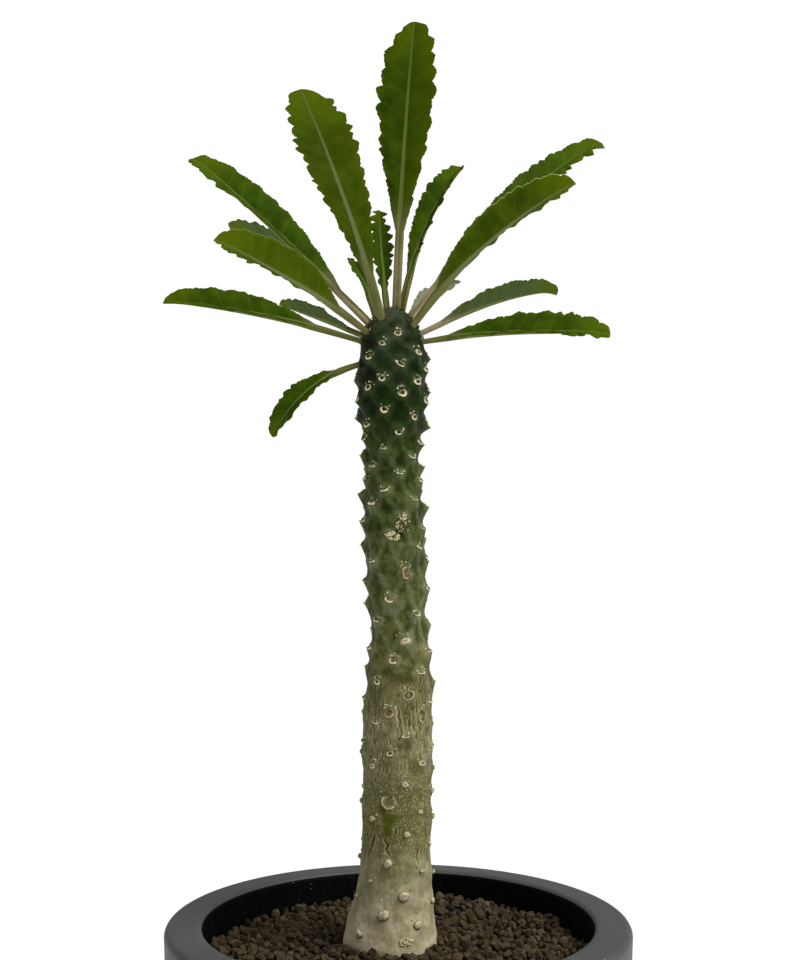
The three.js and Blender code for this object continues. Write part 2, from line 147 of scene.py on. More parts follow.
# Tubercles whose scars the photograph shows as unusual: width and height as shares of the usual,
# lean in degrees, how worn down, how orange, green or tan what fills the scar is, and how much of
# its pale rim a filled scar keeps
UNUSUAL_SCARS = {
    25: {"wide": 1.25, "tall": 0.6, "lean": -35},
    90: {"wide": 1.1, "tall": 2.2, "orange": 0.9},
    95: {"wide": 1.25, "tall": 1.3},
    103: {"wide": 1.4, "tall": 1.4, "worn": 0.75},
    108: {"wide": 1.35, "tall": 1.4, "worn": 0.0},
    116: {"wide": 1.9, "tall": 2.0, "green": 1.0},
    121: {"wide": 1.5, "tall": 1.6, "orange": 1.0},
    124: {"wide": 1.0, "tall": 1.8, "green": 1.0},
    147: {"wide": 2.3, "tall": 2.7, "lean": -25, "tan": 1.0, "worn": 0.0, "rim": 1.0},
    155: {"wide": 1.2, "tall": 1.5, "worn": 1.0},
    160: {"wide": 1.3, "tall": 1.6, "worn": 1.0},
    168: {"wide": 1.5, "tall": 1.9, "worn": 1.0},
    173: {"wide": 1.5, "tall": 1.9, "worn": 1.0},
    176: {"wide": 1.3, "tall": 1.7, "worn": 1.0},
    178: {"wide": 1.2, "tall": 1.5, "worn": 1.0},
}
# Crusts of cork: azimuth in degrees, height, width, height across, grains, and share of dark ones
CRUSTS = (
    (-73.0, 217.6, 2.1, 3.0, 120, 0.72), (-92.0, 213.4, 1.7, 1.4, 55, 0.12),
    (-71.1, 85.6, 2.4, 1.2, 44, 0.0),
)
# Cracks seen in the photograph: azimuth, height, half length, width, slant and zigzag
SEEN_CRACKS = (
    (-133.8, 115.6, 3.3, 0.55, 0.32, 0.0), (-105.4, 115.4, 2.9, 0.4, -0.2, 0.5),
    (-52.5, 112.6, 4.4, 0.34, -0.06, 0.45), (-87.0, 155.0, 4.6, 0.34, -0.16, 0.25),
    (-57.0, 159.5, 3.2, 0.22, -0.08, 0.2), (-64.0, 156.0, 2.4, 0.2, 0.04, 0.15),
    (-119.0, 160.0, 2.4, 0.2, 0.1, 0.2), (-95.0, 146.5, 2.0, 0.22, -0.3, 0.2),
    (-116.0, 143.5, 2.2, 0.22, 0.3, 0.2), (-131.0, 152.0, 2.2, 0.2, 0.0, 0.2),
)
# Other cracks: the height that each zone spans, how many it has, and their longest length
CRACK_ZONES = ((136, 168, 80, 4.5), (106, 122, 14, 5), (174, 190, 5, 2.5))
# Bright green bark: azimuth, height, width and height across
GREEN_BARK = (
    (-103.0, 124.0, 2.5, 2.5), (-92.0, 124.6, 2.7, 1.2), (-104.6, 121.2, 1.4, 3.2),
    (-112.0, 127.8, 1.6, 3.0),
)

# Leaves: azimuth and height of each one's foot, its heading, its rise at base and tip, length, width,
# roll about its midrib, fold along it, the petiole's width and share of the length, where the blade
# is widest, how many veins it has a side, and how deep the lobes of its left and right half are.
# Where it differs from the usual leaf: how late it bends, how wide each half is, how far each opens
# out towards the tip, how pointed the tip is and how far it hooks down, how much painted sheen dulls
# it and how blushed its petiole, how yellow-green each half is, partly its own tone and partly painted
# light, and how pale the edge that the light catches.
Leaf = namedtuple(
    "Leaf", "at z heading rise length width roll fold stalk petiole peak veins teeth "
    "bend halves droop tip hook grey blush lime pale",
    defaults=(1, (1, 1), (0, 0), 0.5, 0, 0, 0, (0, 0), 0))
LEAVES = (
    # This leaf's right half is painted lighter: painted light on the half that faces the key light
    Leaf(50, 284.5, 72, (83, 74), 94, 19, 0, 12, 2.7, 0.25, 0.66, 11, (2.4, 2.3), blush=0.25,
         lime=(0, 0.6)),
    Leaf(-125, 281.9, -118, (61, 46), 81.5, 19.8, 2, 9, 2.9, 0.17, 0.72, 14, (2.2, 3.0), halves=(1, 1.03),
         lime=(0.2, 0.2)),
    Leaf(160, 280, 152, (42, 37), 86, 18.5, -8, 27, 2.8, 0.16, 0.56, 12, (2.8, 0.9), halves=(0.75, 1),
         droop=(21, 0), tip=0.36, hook=8, blush=0.6),
    Leaf(128, 278.5, 140, (38, 7), 73, 13, 21, 27, 2.4, 0.25, 0.6, 12, (1.3, 1.6), bend=2, halves=(1, 0.75),
         tip=0.32, hook=10, grey=0.85),
    Leaf(208, 277.5, 208, (34, 23), 58.5, 17.5, 27, 30, 3.0, 0.2, 0.52, 11, (0.9, 2.4), halves=(1, 0.6),
         droop=(0, 15), tip=0.38, hook=5, grey=0.1, lime=(0.45, 0.45), pale=0.5),
    Leaf(182, 274.8, 172, (16.5, 5.5), 65, 15.5, -26, 28, 2.6, 0.22, 0.56, 10, (1.6, 1.1), halves=(0.6, 1),
         tip=0.34, hook=7),
    Leaf(150, 276, 145, (18, 15), 36.5, 11, 20, 32, 2.4, 0.18, 0.5, 8, (1.1, 1.1), halves=(1, 0.8),
         grey=0.9),
    Leaf(190, 267.5, 200, (-15, -62), 37.5, 11, -25, 25, 2.4, 0.18, 0.55, 9, (1.1, 1.3)),
    Leaf(150, 282, 150, (74, 48), 21.5, 6.4, -10, 25, 1.8, 0.3, 0.5, 5, (1.4, 1.4), grey=0.1, blush=0.2),
    Leaf(123, 284.1, 115, (73, 83), 32.5, 7.6, 0, 16, 2.0, 0.15, 0.62, 8, (3.4, 3.4), grey=0.1),
    Leaf(59, 282.8, 55, (73, 35), 61, 12, 0, 33, 2.4, 0.2, 0.62, 13, (1.5, 3.8), halves=(1, 0.42),
         droop=(0, -14), tip=0.34),
    Leaf(30, 281.3, 28, (50, 29), 93, 13.5, 21.5, 30.5, 2.8, 0.13, 0.6, 13, (1.3, 3.4), halves=(1, 0.62),
         droop=(0, 30), tip=0.36, hook=6, grey=0.25, blush=1, lime=(0.3, 0.3)),
    Leaf(-30, 279.8, -24, (51, 27), 68.5, 17.5, -25, 32, 3.4, 0.17, 0.52, 11, (2.0, 1.0), halves=(0.55, 1),
         droop=(19, 0), tip=0.38, hook=5, pale=1),
    Leaf(12, 277, 12, (24, 2), 47.5, 13.6, -12, 37, 2.6, 0.14, 0.52, 11, (1.2, 0.9), bend=2,
         halves=(0.8, 1), tip=0.36, hook=20, grey=1, blush=0.9),
    Leaf(-8, 274.6, -5, (8, -4), 59, 16, 26, 27, 2.4, 0.12, 0.55, 11, (1.4, 2.6), halves=(1, 0.5),
         droop=(0, 17), tip=0.36, hook=9, grey=0.05, lime=(0.1, 0.1)),
    Leaf(75, 279, 62, (26, 14), 45, 8.2, 8, 22, 2.2, 0.18, 0.5, 7, (1.7, 1.7), grey=1.6),
)
LEAF_ROOT = 3
RIB_DEPTH_AT_BASE = 1.2
RIB_DEPTH_AT_TIP = 0.5
RIB_CREST = 0.4
BLADE_HALF_THICKNESS = 0.35
EDGE_HALF_THICKNESS = 0.17
BLADE_BASE_SHARE = 0.1
BLADE_SWELL_POWER = 1.6
BLADE_TAPER_POWER = 2.1
DROOP_FROM = 0.5
LOBES_A_VEIN = 1.25
SERRATION_PITCH = 1.5
SERRATION_DEPTH = 0.36
TOOTH_PITCH = 3.4
RUFFLE_HEIGHT = 0.3
TEETH_PER_RUFFLE = 2.6
RUFFLE_SHIFT_BETWEEN_EDGES = 2.6
WAVE_FADE = (0.02, 0.2, 0.985)
TWIST_RUN = 0.1
HOOK_FROM = 0.86
VEIN_SWEEP = 0.85
LEAF_STEP = 0.3
LEAF_ACROSS = 9


# Shared helpers
def smoothstep(value, low, high):
    share = np.clip((value - low) / (high - low), 0, 1)
    return share * share * (3 - 2 * share)


def lerp(a, b, share):
    return a + (b - a) * share


def linear(red, green, blue):
    """A colour as a render reads it, from the eye's 0 to 255 values."""
    values = [channel / 255 for channel in (red, green, blue)]
    return [v / 12.92 if v <= 0.04045 else ((v + 0.055) / 1.055) ** 2.4 for v in values] + [1.0]


def draws(number):
    """One of the script's own seeded sources of random numbers."""
    return np.random.default_rng(SEED + number)


def unit(vectors):
    return vectors / np.linalg.norm(vectors, axis=-1, keepdims=True)


def tube_faces(rows, columns):
    """Quads of a grid that closes round on itself, with a fan to one more point at each end."""
    row = np.arange(rows - 1)[:, None] * columns
    here = np.arange(columns)
    after = (here + 1) % columns
    quads = np.stack([row + here, row + after, row + columns + after, row + columns + here], -1)
    start = rows * columns
    last = (rows - 1) * columns
    fans = [[start, b, a] for a, b in zip(here.tolist(), after.tolist())]
    fans += [[start + 1, last + a, last + b] for a, b in zip(here.tolist(), after.tolist())]
    return quads.reshape(-1, 4).tolist() + fans


def add_object(name, data):
    made = bpy.data.objects.new(name, data)
    bpy.context.scene.collection.objects.link(made)
    return made


def make_piece(name, points, faces, materials, nodes=(), values=None, smooth=True):
    """A mesh piece that rides on the plant's one body. values are named numbers or vectors, one
    a point, that its material reads."""
    mesh = bpy.data.meshes.new(name)
    mesh.from_pydata((np.asarray(points) * MM).tolist(), [], faces)
    for key, value in (values or {}).items():
        array = np.asarray(value, np.float32)
        kind, field = ("FLOAT", "value") if array.ndim == 1 else ("FLOAT_VECTOR", "vector")
        mesh.attributes.new(key, kind, "POINT").data.foreach_set(field, array.ravel())
    mesh.polygons.foreach_set("use_smooth", np.full(len(mesh.polygons), smooth))
    for material in materials:
        mesh.materials.append(material)
    piece = add_object(name, mesh)
    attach(piece, "root")
    if nodes:
        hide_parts(*nodes)
    return piece


class Paint:
    """One procedural material. Each method adds nodes and gives back what comes out of them. A
    value is a number, what comes out of a node, or the name of one of the mesh's own values. A
    colour is three of the eye's values, or what comes out of a node."""

    def __init__(self, name, roughness, specular=0.5):
        self.material = bpy.data.materials.new(name)
        self.material.use_nodes = True
        self.tree = self.material.node_tree
        self.shader = self.tree.nodes["Principled BSDF"]
        self.feed(self.shader, {"Roughness": roughness, "Specular IOR Level": specular})
        self.place = self.node("TexCoord", {})["Object"]
        self.colour = None

    def feed(self, node, values):
        for key, value in values.items():
            if isinstance(value, str):
                value = self.attribute(value)
            if isinstance(value, bpy.types.NodeSocket):
                self.tree.links.new(value, node.inputs[key])
            else:
                node.inputs[key].default_value = value

    def node(self, kind, values, **settings):
        node = self.tree.nodes.new("ShaderNode" + kind)
        for key, setting in settings.items():
            setattr(node, key, setting)
        self.feed(node, values)
        return node.outputs

    def attribute(self, name, output="Fac"):
        return self.node("Attribute", {}, attribute_name=name)[output]

    def axes(self, vector):
        return self.node("SeparateXYZ", {0: vector})

    def math(self, operation, *values):
        return self.node("Math", dict(enumerate(values)), operation=operation)[0]

    def times(self, *values):
        product = values[0]
        for value in values[1:]:
            product = self.math("MULTIPLY", product, value)
        return product

    def flip(self, value):
        return self.math("SUBTRACT", 1.0, value)

    def band(self, value, low, high, to_low=0.0, to_high=1.0):
        ends = {"From Min": low, "From Max": high, "To Min": to_low, "To Max": to_high}
        return self.node("MapRange", {"Value": value} | ends, interpolation_type="SMOOTHSTEP")[0]

    def stretched(self, x, y, z):
        return self.node("Mapping", {"Vector": self.place, "Scale": (x, y, z)})[0]

    def noise(self, size, detail=2.0, roughness=0.5, vector=None):
        looks = {"Scale": 1 / (size * MM), "Detail": detail, "Roughness": roughness}
        return self.node("TexNoise", {"Vector": vector or self.place} | looks)[0]

    def cells(self, size, feature="F1", vector=None):
        """A texture of cells: the distance in it, and a random colour a cell."""
        values = {"Vector": vector or self.place, "Scale": 1 / (size * MM)}
        return self.node("TexVoronoi", values, feature=feature)

    def mix(self, share, first, second):
        first, second = (linear(*hue) if isinstance(hue, tuple) else hue for hue in (first, second))
        return self.node("Mix", {0: share, 6: first, 7: second}, data_type="RGBA")[2]

    def blend(self, value, low, high, first, second):
        return self.mix(self.band(value, low, high), first, second)

    def cover(self, over, *shares):
        """Lays a colour over the material's own, by the product of the shares."""
        self.colour = self.mix(self.times(*shares), self.colour, over)

    def ramp(self, value, stops):
        output = self.node("ValToRGB", {0: value})[0]
        elements = output.node.color_ramp.elements
        while len(elements) < len(stops):
            elements.new(0.5)
        for element, (position, hue) in zip(elements, stops):
            element.position = position
            element.color = linear(*hue)
        return output

    def finish(self, heights=(), roughness=None):
        """Gives the shader its colour and roughness, and stacks bumps of heights in millimetres."""
        values = {"Base Color": self.colour}
        if roughness is not None:
            values["Roughness"] = roughness
        normal = {}
        for height, depth in heights:
            bump = {"Strength": 1.0, "Distance": depth * MM, "Height": height}
            normal = {"Normal": self.node("Bump", bump | normal)[0]}
        self.feed(self.shader, values | normal)
        return self.material


# Camera
def make_camera():
    data = bpy.data.cameras.new("camera")
    data.sensor_width = SENSOR
    data.lens = FOCAL_LENGTH / FRAME_HEIGHT * SENSOR
    data.clip_start = 0.01
    data.clip_end = 20
    camera = add_object("camera", data)
    camera.location = Vector(CAMERA_PLACE) * MM
    camera.rotation_euler = Euler((radians(90 - CAMERA_TILT), 0, 0))
    bpy.context.scene.camera = camera


make_camera()


# Pot
def pot_inner_radius(z):
    return lerp(FOOT_RADIUS - WALL, MOUTH_RADIUS, min(1, z / COLLAR_BOTTOM))


def arc(centre_r, centre_z, radius, start, end, steps):
    angles = np.radians(np.linspace(start, end, steps + 1))
    return [(centre_r + radius * cos(a), centre_z + radius * sin(a)) for a in angles]


def straight(start, end, steps):
    return [(lerp(start[0], end[0], i / steps), lerp(start[1], end[1], i / steps)) for i in range(1, steps)]


def pot_profile():
    """The pot's outline from under its floor, up its outside and down its inside, and the number
    of the point from which it is the dark inside."""
    outer_top = POT_HEIGHT - RIM_CROWN - RIM_OUTER_ROUNDING
    inner_top = POT_HEIGHT - RIM_INNER_ROUNDING
    corner = 0.8
    foot = arc(FOOT_RADIUS - FOOT_BEVEL, FOOT_BEVEL, FOOT_BEVEL, -90, -5, 5)
    under_rim = (MOUTH_RADIUS + WALL, COLLAR_BOTTOM)
    skirt_radius = RIM_RADIUS - RIM_DRAFT
    skirt = arc(skirt_radius - corner, COLLAR_BOTTOM + corner, corner, -90, 5, 5)
    outer = arc(RIM_RADIUS - RIM_OUTER_ROUNDING, outer_top, RIM_OUTER_ROUNDING, 0, 82, 9)
    inner = arc(MOUTH_RADIUS + RIM_INNER_ROUNDING, inner_top, RIM_INNER_ROUNDING, 96, 180, 12)
    inner_foot = arc(pot_inner_radius(FLOOR) - corner, FLOOR + corner, corner, 0, -90, 4)
    outside = [
        *straight((0, 0), foot[0], 8), *foot, *straight(foot[-1], under_rim, 12), under_rim,
        *straight(under_rim, skirt[0], 3), *skirt, *straight(skirt[-1], outer[0], 5), *outer,
        *straight(outer[-1], inner[0], 5), *inner[:8],
    ]
    inside = [
        *inner[8:], *straight(inner[-1], (MOUTH_RADIUS, COLLAR_BOTTOM), 5),
        (MOUTH_RADIUS, COLLAR_BOTTOM), *straight((MOUTH_RADIUS, COLLAR_BOTTOM), inner_foot[0], 8),
        *inner_foot, *straight(inner_foot[-1], (0, FLOOR), 8),
    ]
    return outside + inside, len(outside) - 1


def dust(paint, share, sizes):
    """Small pale specks of dust on some of the cells of a texture."""
    cell = paint.cells(1.9)
    pick, size, _ = paint.axes(cell["Color"])
    chosen = paint.math("GREATER_THAN", pick, 1 - share)
    return paint.times(chosen, paint.math("LESS_THAN", cell["Distance"], paint.band(size, 0, 1, *sizes)))


def outer_plastic():
    paint = Paint("moulded_plastic", 0.5, 0.25)
    scuffs = paint.noise(2.4, 6, 0.75, paint.stretched(1, 1, 0.35))
    paint.colour = paint.mix(paint.noise(30, 2), (63, 64, 65), (75, 76, 76))
    paint.cover((102, 103, 102), paint.band(scuffs, 0.54, 0.76, 0, 0.4))
    paint.cover((196, 196, 188), dust(paint, 0.1, (0.05, 0.13)), 0.75)
    roughness = paint.math("ADD", 0.46, paint.times(scuffs, 0.14))
    return paint.finish([(paint.noise(0.7, 4, 0.6), 0.05), (scuffs, 0.1)], roughness)


def inner_plastic():
    paint = Paint("shaded_plastic", 0.6, 0.05)
    scuffs = paint.noise(2.4, 6, 0.75, paint.stretched(1, 1, 0.35))
    # The inside: the same plastic painted near black, partly a darker inner finish and partly painted shade
    paint.colour = paint.blend(scuffs, 0.5, 0.8, (6, 7, 7), (22, 24, 24))
    paint.cover((120, 124, 118), dust(paint, 0.3, (0.03, 0.11)), 0.6)
    return paint.finish([(scuffs, 0.1)])


def drill_holes(pot):
    drill = bmesh.new()
    for i in range(DRAIN_HOLES):
        turn = 2 * pi * i / DRAIN_HOLES
        place = Vector((DRAIN_CIRCLE * cos(turn), DRAIN_CIRCLE * sin(turn), FLOOR / 2)) * MM
        made = bmesh.ops.create_cone(
            drill, cap_ends=True, segments=24, radius1=DRAIN_RADIUS * MM, radius2=DRAIN_RADIUS * MM,
            depth=3 * FLOOR * MM)
        bmesh.ops.translate(drill, verts=made["verts"], vec=place)
    mesh = bpy.data.meshes.new("drill")
    drill.to_mesh(mesh)
    cutter = add_object("drill", mesh)
    cut = pot.modifiers.new("drain_holes", "BOOLEAN")
    cut.operation = "DIFFERENCE"
    cut.solver = "EXACT"
    cut.object = cutter
    graph = bpy.context.evaluated_depsgraph_get()
    drilled = bpy.data.meshes.new_from_object(pot.evaluated_get(graph))
    pot.modifiers.clear()
    pot.data = drilled
    bpy.data.objects.remove(cutter)


def make_pot():
    profile, first_inside = pot_profile()
    profile = np.array(profile)
    angles = np.linspace(0, 2 * np.pi, POT_COLUMNS, endpoint=False)
    rings = np.stack([
        profile[:, :1] * np.cos(angles),
        profile[:, :1] * np.sin(angles),
        np.repeat(profile[:, 1:], POT_COLUMNS, axis=1),
    ], -1)
    points = np.concatenate([rings.reshape(-1, 3), [[0, 0, 0], [0, 0, FLOOR]]])
    faces = tube_faces(len(profile), POT_COLUMNS)
    pot = make_piece("pot_shell", points, faces, [outer_plastic(), inner_plastic()], ["pot"])
    inside = np.zeros(len(faces), int)
    inside[first_inside * POT_COLUMNS:(len(profile) - 1) * POT_COLUMNS] = 1
    inside[len(profile) * POT_COLUMNS:] = 1
    pot.data.polygons.foreach_set("material_index", inside)
    drill_holes(pot)


make_pot()


# Stem
def stem_profile():
    """The stem's outline from its buried foot to its apex, rounded off: run, z, x and radius."""
    corners = np.array([*STEM_PROFILE, (*STEM_APEX, 0)], float)
    run = np.concatenate([[0], np.cumsum(np.hypot(np.diff(corners[:, 0]), np.diff(corners[:, 2])))])
    step = 0.25
    fine = np.arange(0, run[-1] + step, step)
    half = int(STEM_SMOOTHING / step / 2)
    window = np.hanning(2 * half + 3)[1:-1]
    window /= window.sum()
    columns = []
    for i in range(3):
        dense = np.interp(fine, run, corners[:, i])
        columns.append(np.convolve(np.pad(dense, half, mode="edge"), window, "valid"))
    return fine, *columns


STEM_RUN, STEM_Z, STEM_X, STEM_R = stem_profile()
STEM_OUT = unit(np.stack([np.gradient(STEM_Z, STEM_RUN), -np.gradient(STEM_R, STEM_RUN)], -1))


def on_stem(azimuth, z):
    """The point of the unsmoothed stem that a leaf or a tubercle grows from."""
    heights, leans, radii = np.array(STEM_PROFILE, float).T
    if z > heights[-1]:
        radius = radii[-1] * (STEM_APEX[0] - z) / (STEM_APEX[0] - heights[-1])
    else:
        radius = np.interp(z, heights, radii)
    x = np.interp(z, heights, leans) + radius * cos(azimuth)
    return np.array([x, radius * sin(azimuth), z])


def run_at(z):
    return np.interp(z, STEM_Z, STEM_RUN)


def at_run(run, values):
    return np.interp(run, STEM_RUN, values)


def wrapped(angle):
    return (angle + np.pi) % (2 * np.pi) - np.pi


def near_spot(run, azimuth, centre, turn, reach):
    """Which places lie near a spot along the stem, and how far along and beside it they are."""
    near = np.abs(run - centre) < reach
    return near, run[near] - centre, at_run(run[near], STEM_R) * wrapped(azimuth[near] - turn)


def keep_highest(values, near, new):
    values[near] = np.maximum(values[near], new)


def tubercles():
    heights, pitches, reaches, scars = np.array(TUBERCLE_SIZES, float).T
    roots = [on_stem(radians(leaf.at), leaf.z) for leaf in LEAVES]
    rng = draws(0)
    found = {}
    z = TUBERCLE_FIRST_HEIGHT
    k = 0
    while z > TUBERCLE_LOWEST:
        azimuth = radians(TUBERCLE_FIRST_AZIMUTH + k * TUBERCLE_DIVERGENCE)
        place = on_stem(azimuth, z)
        taken = min(np.linalg.norm(place - root) for root in roots) < TUBERCLE_CLEAR_OF_LEAF
        if z < TUBERCLE_HIGHEST and not taken:
            crown = float(smoothstep(z, CROWN_FROM, CROWN_FULL))
            azimuth += rng.normal(0, 0.04)
            run = run_at(z + rng.normal(0, 0.45))
            found[k] = SimpleNamespace(
                number=k, azimuth=azimuth, z=z, run=run, crown=crown,
                reach=np.interp(z, heights, reaches) * rng.uniform(0.55, 1.25),
                above=lerp(*FLANK_ABOVE, crown) * rng.uniform(0.8, 1.2),
                below=lerp(*FLANK_BELOW, crown) * rng.uniform(0.8, 1.25),
                scar=np.interp(z, heights, scars) * rng.uniform(0.82, 1.1),
                strength=rng.uniform(0.4, 1))
        z -= np.interp(z, heights, pitches) / TUBERCLE_ROWS
        k += 1
    return found


TUBERCLES = tubercles()


def raise_tubercles(run, azimuth, relief, tints):
    """Adds the tubercles' cones and swellings, and marks the painted shade below and the ring round each.
    """
    for spot in TUBERCLES.values():
        near, along, beside = near_spot(run, azimuth, spot.run, spot.azimuth, TUBERCLE_FIELD)
        flank = np.where(along > 0, spot.above, spot.below)
        away = np.hypot(along / flank, beside / FLANK_BESIDE)
        cone = spot.reach * np.clip(1.04 - np.sqrt(away ** 2 + 0.0016), 0, 1) ** FLANK_POWER
        swelling = min(1, spot.reach) * 0.7 * np.exp(-(along ** 2 + beside ** 2) / 18)
        keep_highest(relief, near, cone + swelling)
        # Painted shade: a dark patch just below each tubercle's tip
        painted_shade = np.exp(-((along + 3.5) / 2.5) ** 2 - (beside / 2.1) ** 2) * spot.strength
        keep_highest(tints["painted_shade"], near, painted_shade)
        from_scar = np.hypot(along - 0.8 * spot.scar, beside)
        halo = np.exp(-((from_scar - 1.5 * spot.scar) / 0.8) ** 2)
        keep_highest(tints["halo"], near, halo * (0.5 + 0.5 * spot.strength))


def mark_ridges(run, azimuth, tints):
    """Marks the low pale ridges that join each tubercle to its neighbours below it."""
    for spot in TUBERCLES.values():
        for step in RIDGE_STEPS:
            other = TUBERCLES.get(spot.number + step)
            if other is None:
                continue
            turned = wrapped(other.azimuth - spot.azimuth)
            way = np.array([at_run(spot.run, STEM_R) * turned, other.run - spot.run])
            middle = (spot.run + other.run) / 2
            near, _, beside = near_spot(run, azimuth, middle, spot.azimuth, 3 + abs(way[1]) / 2)
            along = run[near] - spot.run
            share = np.clip((beside * way[0] + along * way[1]) / (way @ way), 0, 1)
            bow = 0.5 * np.sin(share * np.pi + spot.strength * 6)
            off = np.hypot(beside - share * way[0] - bow, along - share * way[1])
            ridge = np.exp(-(off / 0.95) ** 2) * (0.35 + 0.65 * other.strength)
            keep_highest(tints["ridge"], near, ridge)


def stem_cracks():
    """Every crack: azimuth, run, half length, width, slant, zigzag and the start of its wave."""
    rng = draws(1)
    cracks = [
        (radians(azimuth), run_at(z), half, width, slant, zigzag, 1.0)
        for azimuth, z, half, width, slant, zigzag in SEEN_CRACKS
    ]
    for low, high, count, longest in CRACK_ZONES:
        for _ in range(count):
            cracks.append((
                rng.uniform(-np.pi, np.pi), run_at(rng.uniform(low, high)),
                longest * rng.uniform(0.15, 0.5), rng.uniform(0.14, 0.26), rng.normal(0, 0.1),
                rng.uniform(0.1, 0.5), rng.uniform(0, 6)))
    return cracks


STEM_CRACKS = stem_cracks()


def mark_cracks(run, azimuth, tints):
    """Marks how deep in a crack each place is and how near to a crack's raised lip."""
    for turn, centre, half, width, slant, zigzag, wave in STEM_CRACKS:
        near, along, beside = near_spot(run, azimuth, centre, turn, half + 0.6)
        bend = np.arcsin(0.94 * np.sin(along * 2.1 + wave)) / 1.5
        beside = beside - slant * along - zigzag * bend
        taper = np.sqrt(np.clip(1 - (along / half) ** 2, 0, 1))
        opening = width * taper + 1e-3
        inside = np.exp(-(beside / opening) ** 2) * (np.abs(along) < half)
        lip = np.exp(-((np.abs(beside) - opening - 0.26) / 0.26) ** 2) * np.sqrt(taper)
        keep_highest(tints["crack"], near, inside)
        keep_highest(tints["lip"], near, lip * min(1, width / 0.42))


def mark_green(run, azimuth, tints):
    for turn, z, wide, tall in GREEN_BARK:
        near, along, beside = near_spot(run, azimuth, run_at(z), radians(turn), 1.2 * tall)
        away = np.hypot(beside / wide, along / tall)
        keep_highest(tints["green"], near, 1 - smoothstep(away, 0.6, 1.15))


def skin_relief(run, azimuth):
    """How far the skin stands out from the smooth stem at each place, and the place's tints."""
    relief = np.zeros_like(run)
    tints = {key: np.zeros_like(run) for key in ("painted_shade", "halo", "ridge", "crack", "lip", "green")}
    raise_tubercles(run, azimuth, relief, tints)
    mark_ridges(run, azimuth, tints)
    mark_cracks(run, azimuth, tints)
    mark_green(run, azimuth, tints)
    z = at_run(run, STEM_Z)
    radius = at_run(run, STEM_R)
    tints["ridge"] *= smoothstep(z, 170, 184)
    tints["halo"] *= smoothstep(z, 150, 175)
    tints["painted_shade"] *= 0.35 + 0.65 * smoothstep(z, 150, 175)
    tints["lip"] *= 1 - tints["crack"]
    around = np.stack([radius * np.cos(azimuth), radius * np.sin(azimuth), z], -1)
    lumps = np.array([noise.fractal(Vector(p) * 0.22, 0.9, 2.1, 3) for p in around])
    relief += 0.28 * lumps + 0.2 * tints["ridge"] - 0.4 * tints["crack"] + 0.14 * tints["lip"]
    relief *= smoothstep(z, 74, 80) * smoothstep(285.5 - z, 0, 3)
    return relief, tints


def skin_places(run, azimuth, height):
    """Points at given heights above the smooth stem; what stands out far also leans up, or down
    on the crown."""
    z = at_run(run, STEM_Z)
    lean = lerp(0.28, -0.12, smoothstep(z, CROWN_FROM, CROWN_FULL)) * smoothstep(height, 0.5, 1.6)
    reach = at_run(run, STEM_R) + height * at_run(run, STEM_OUT[:, 0])
    return np.stack([
        at_run(run, STEM_X) + reach * np.cos(azimuth),
        reach * np.sin(azimuth),
        z + height * at_run(run, STEM_OUT[:, 1]) + lean * height,
    ], -1)


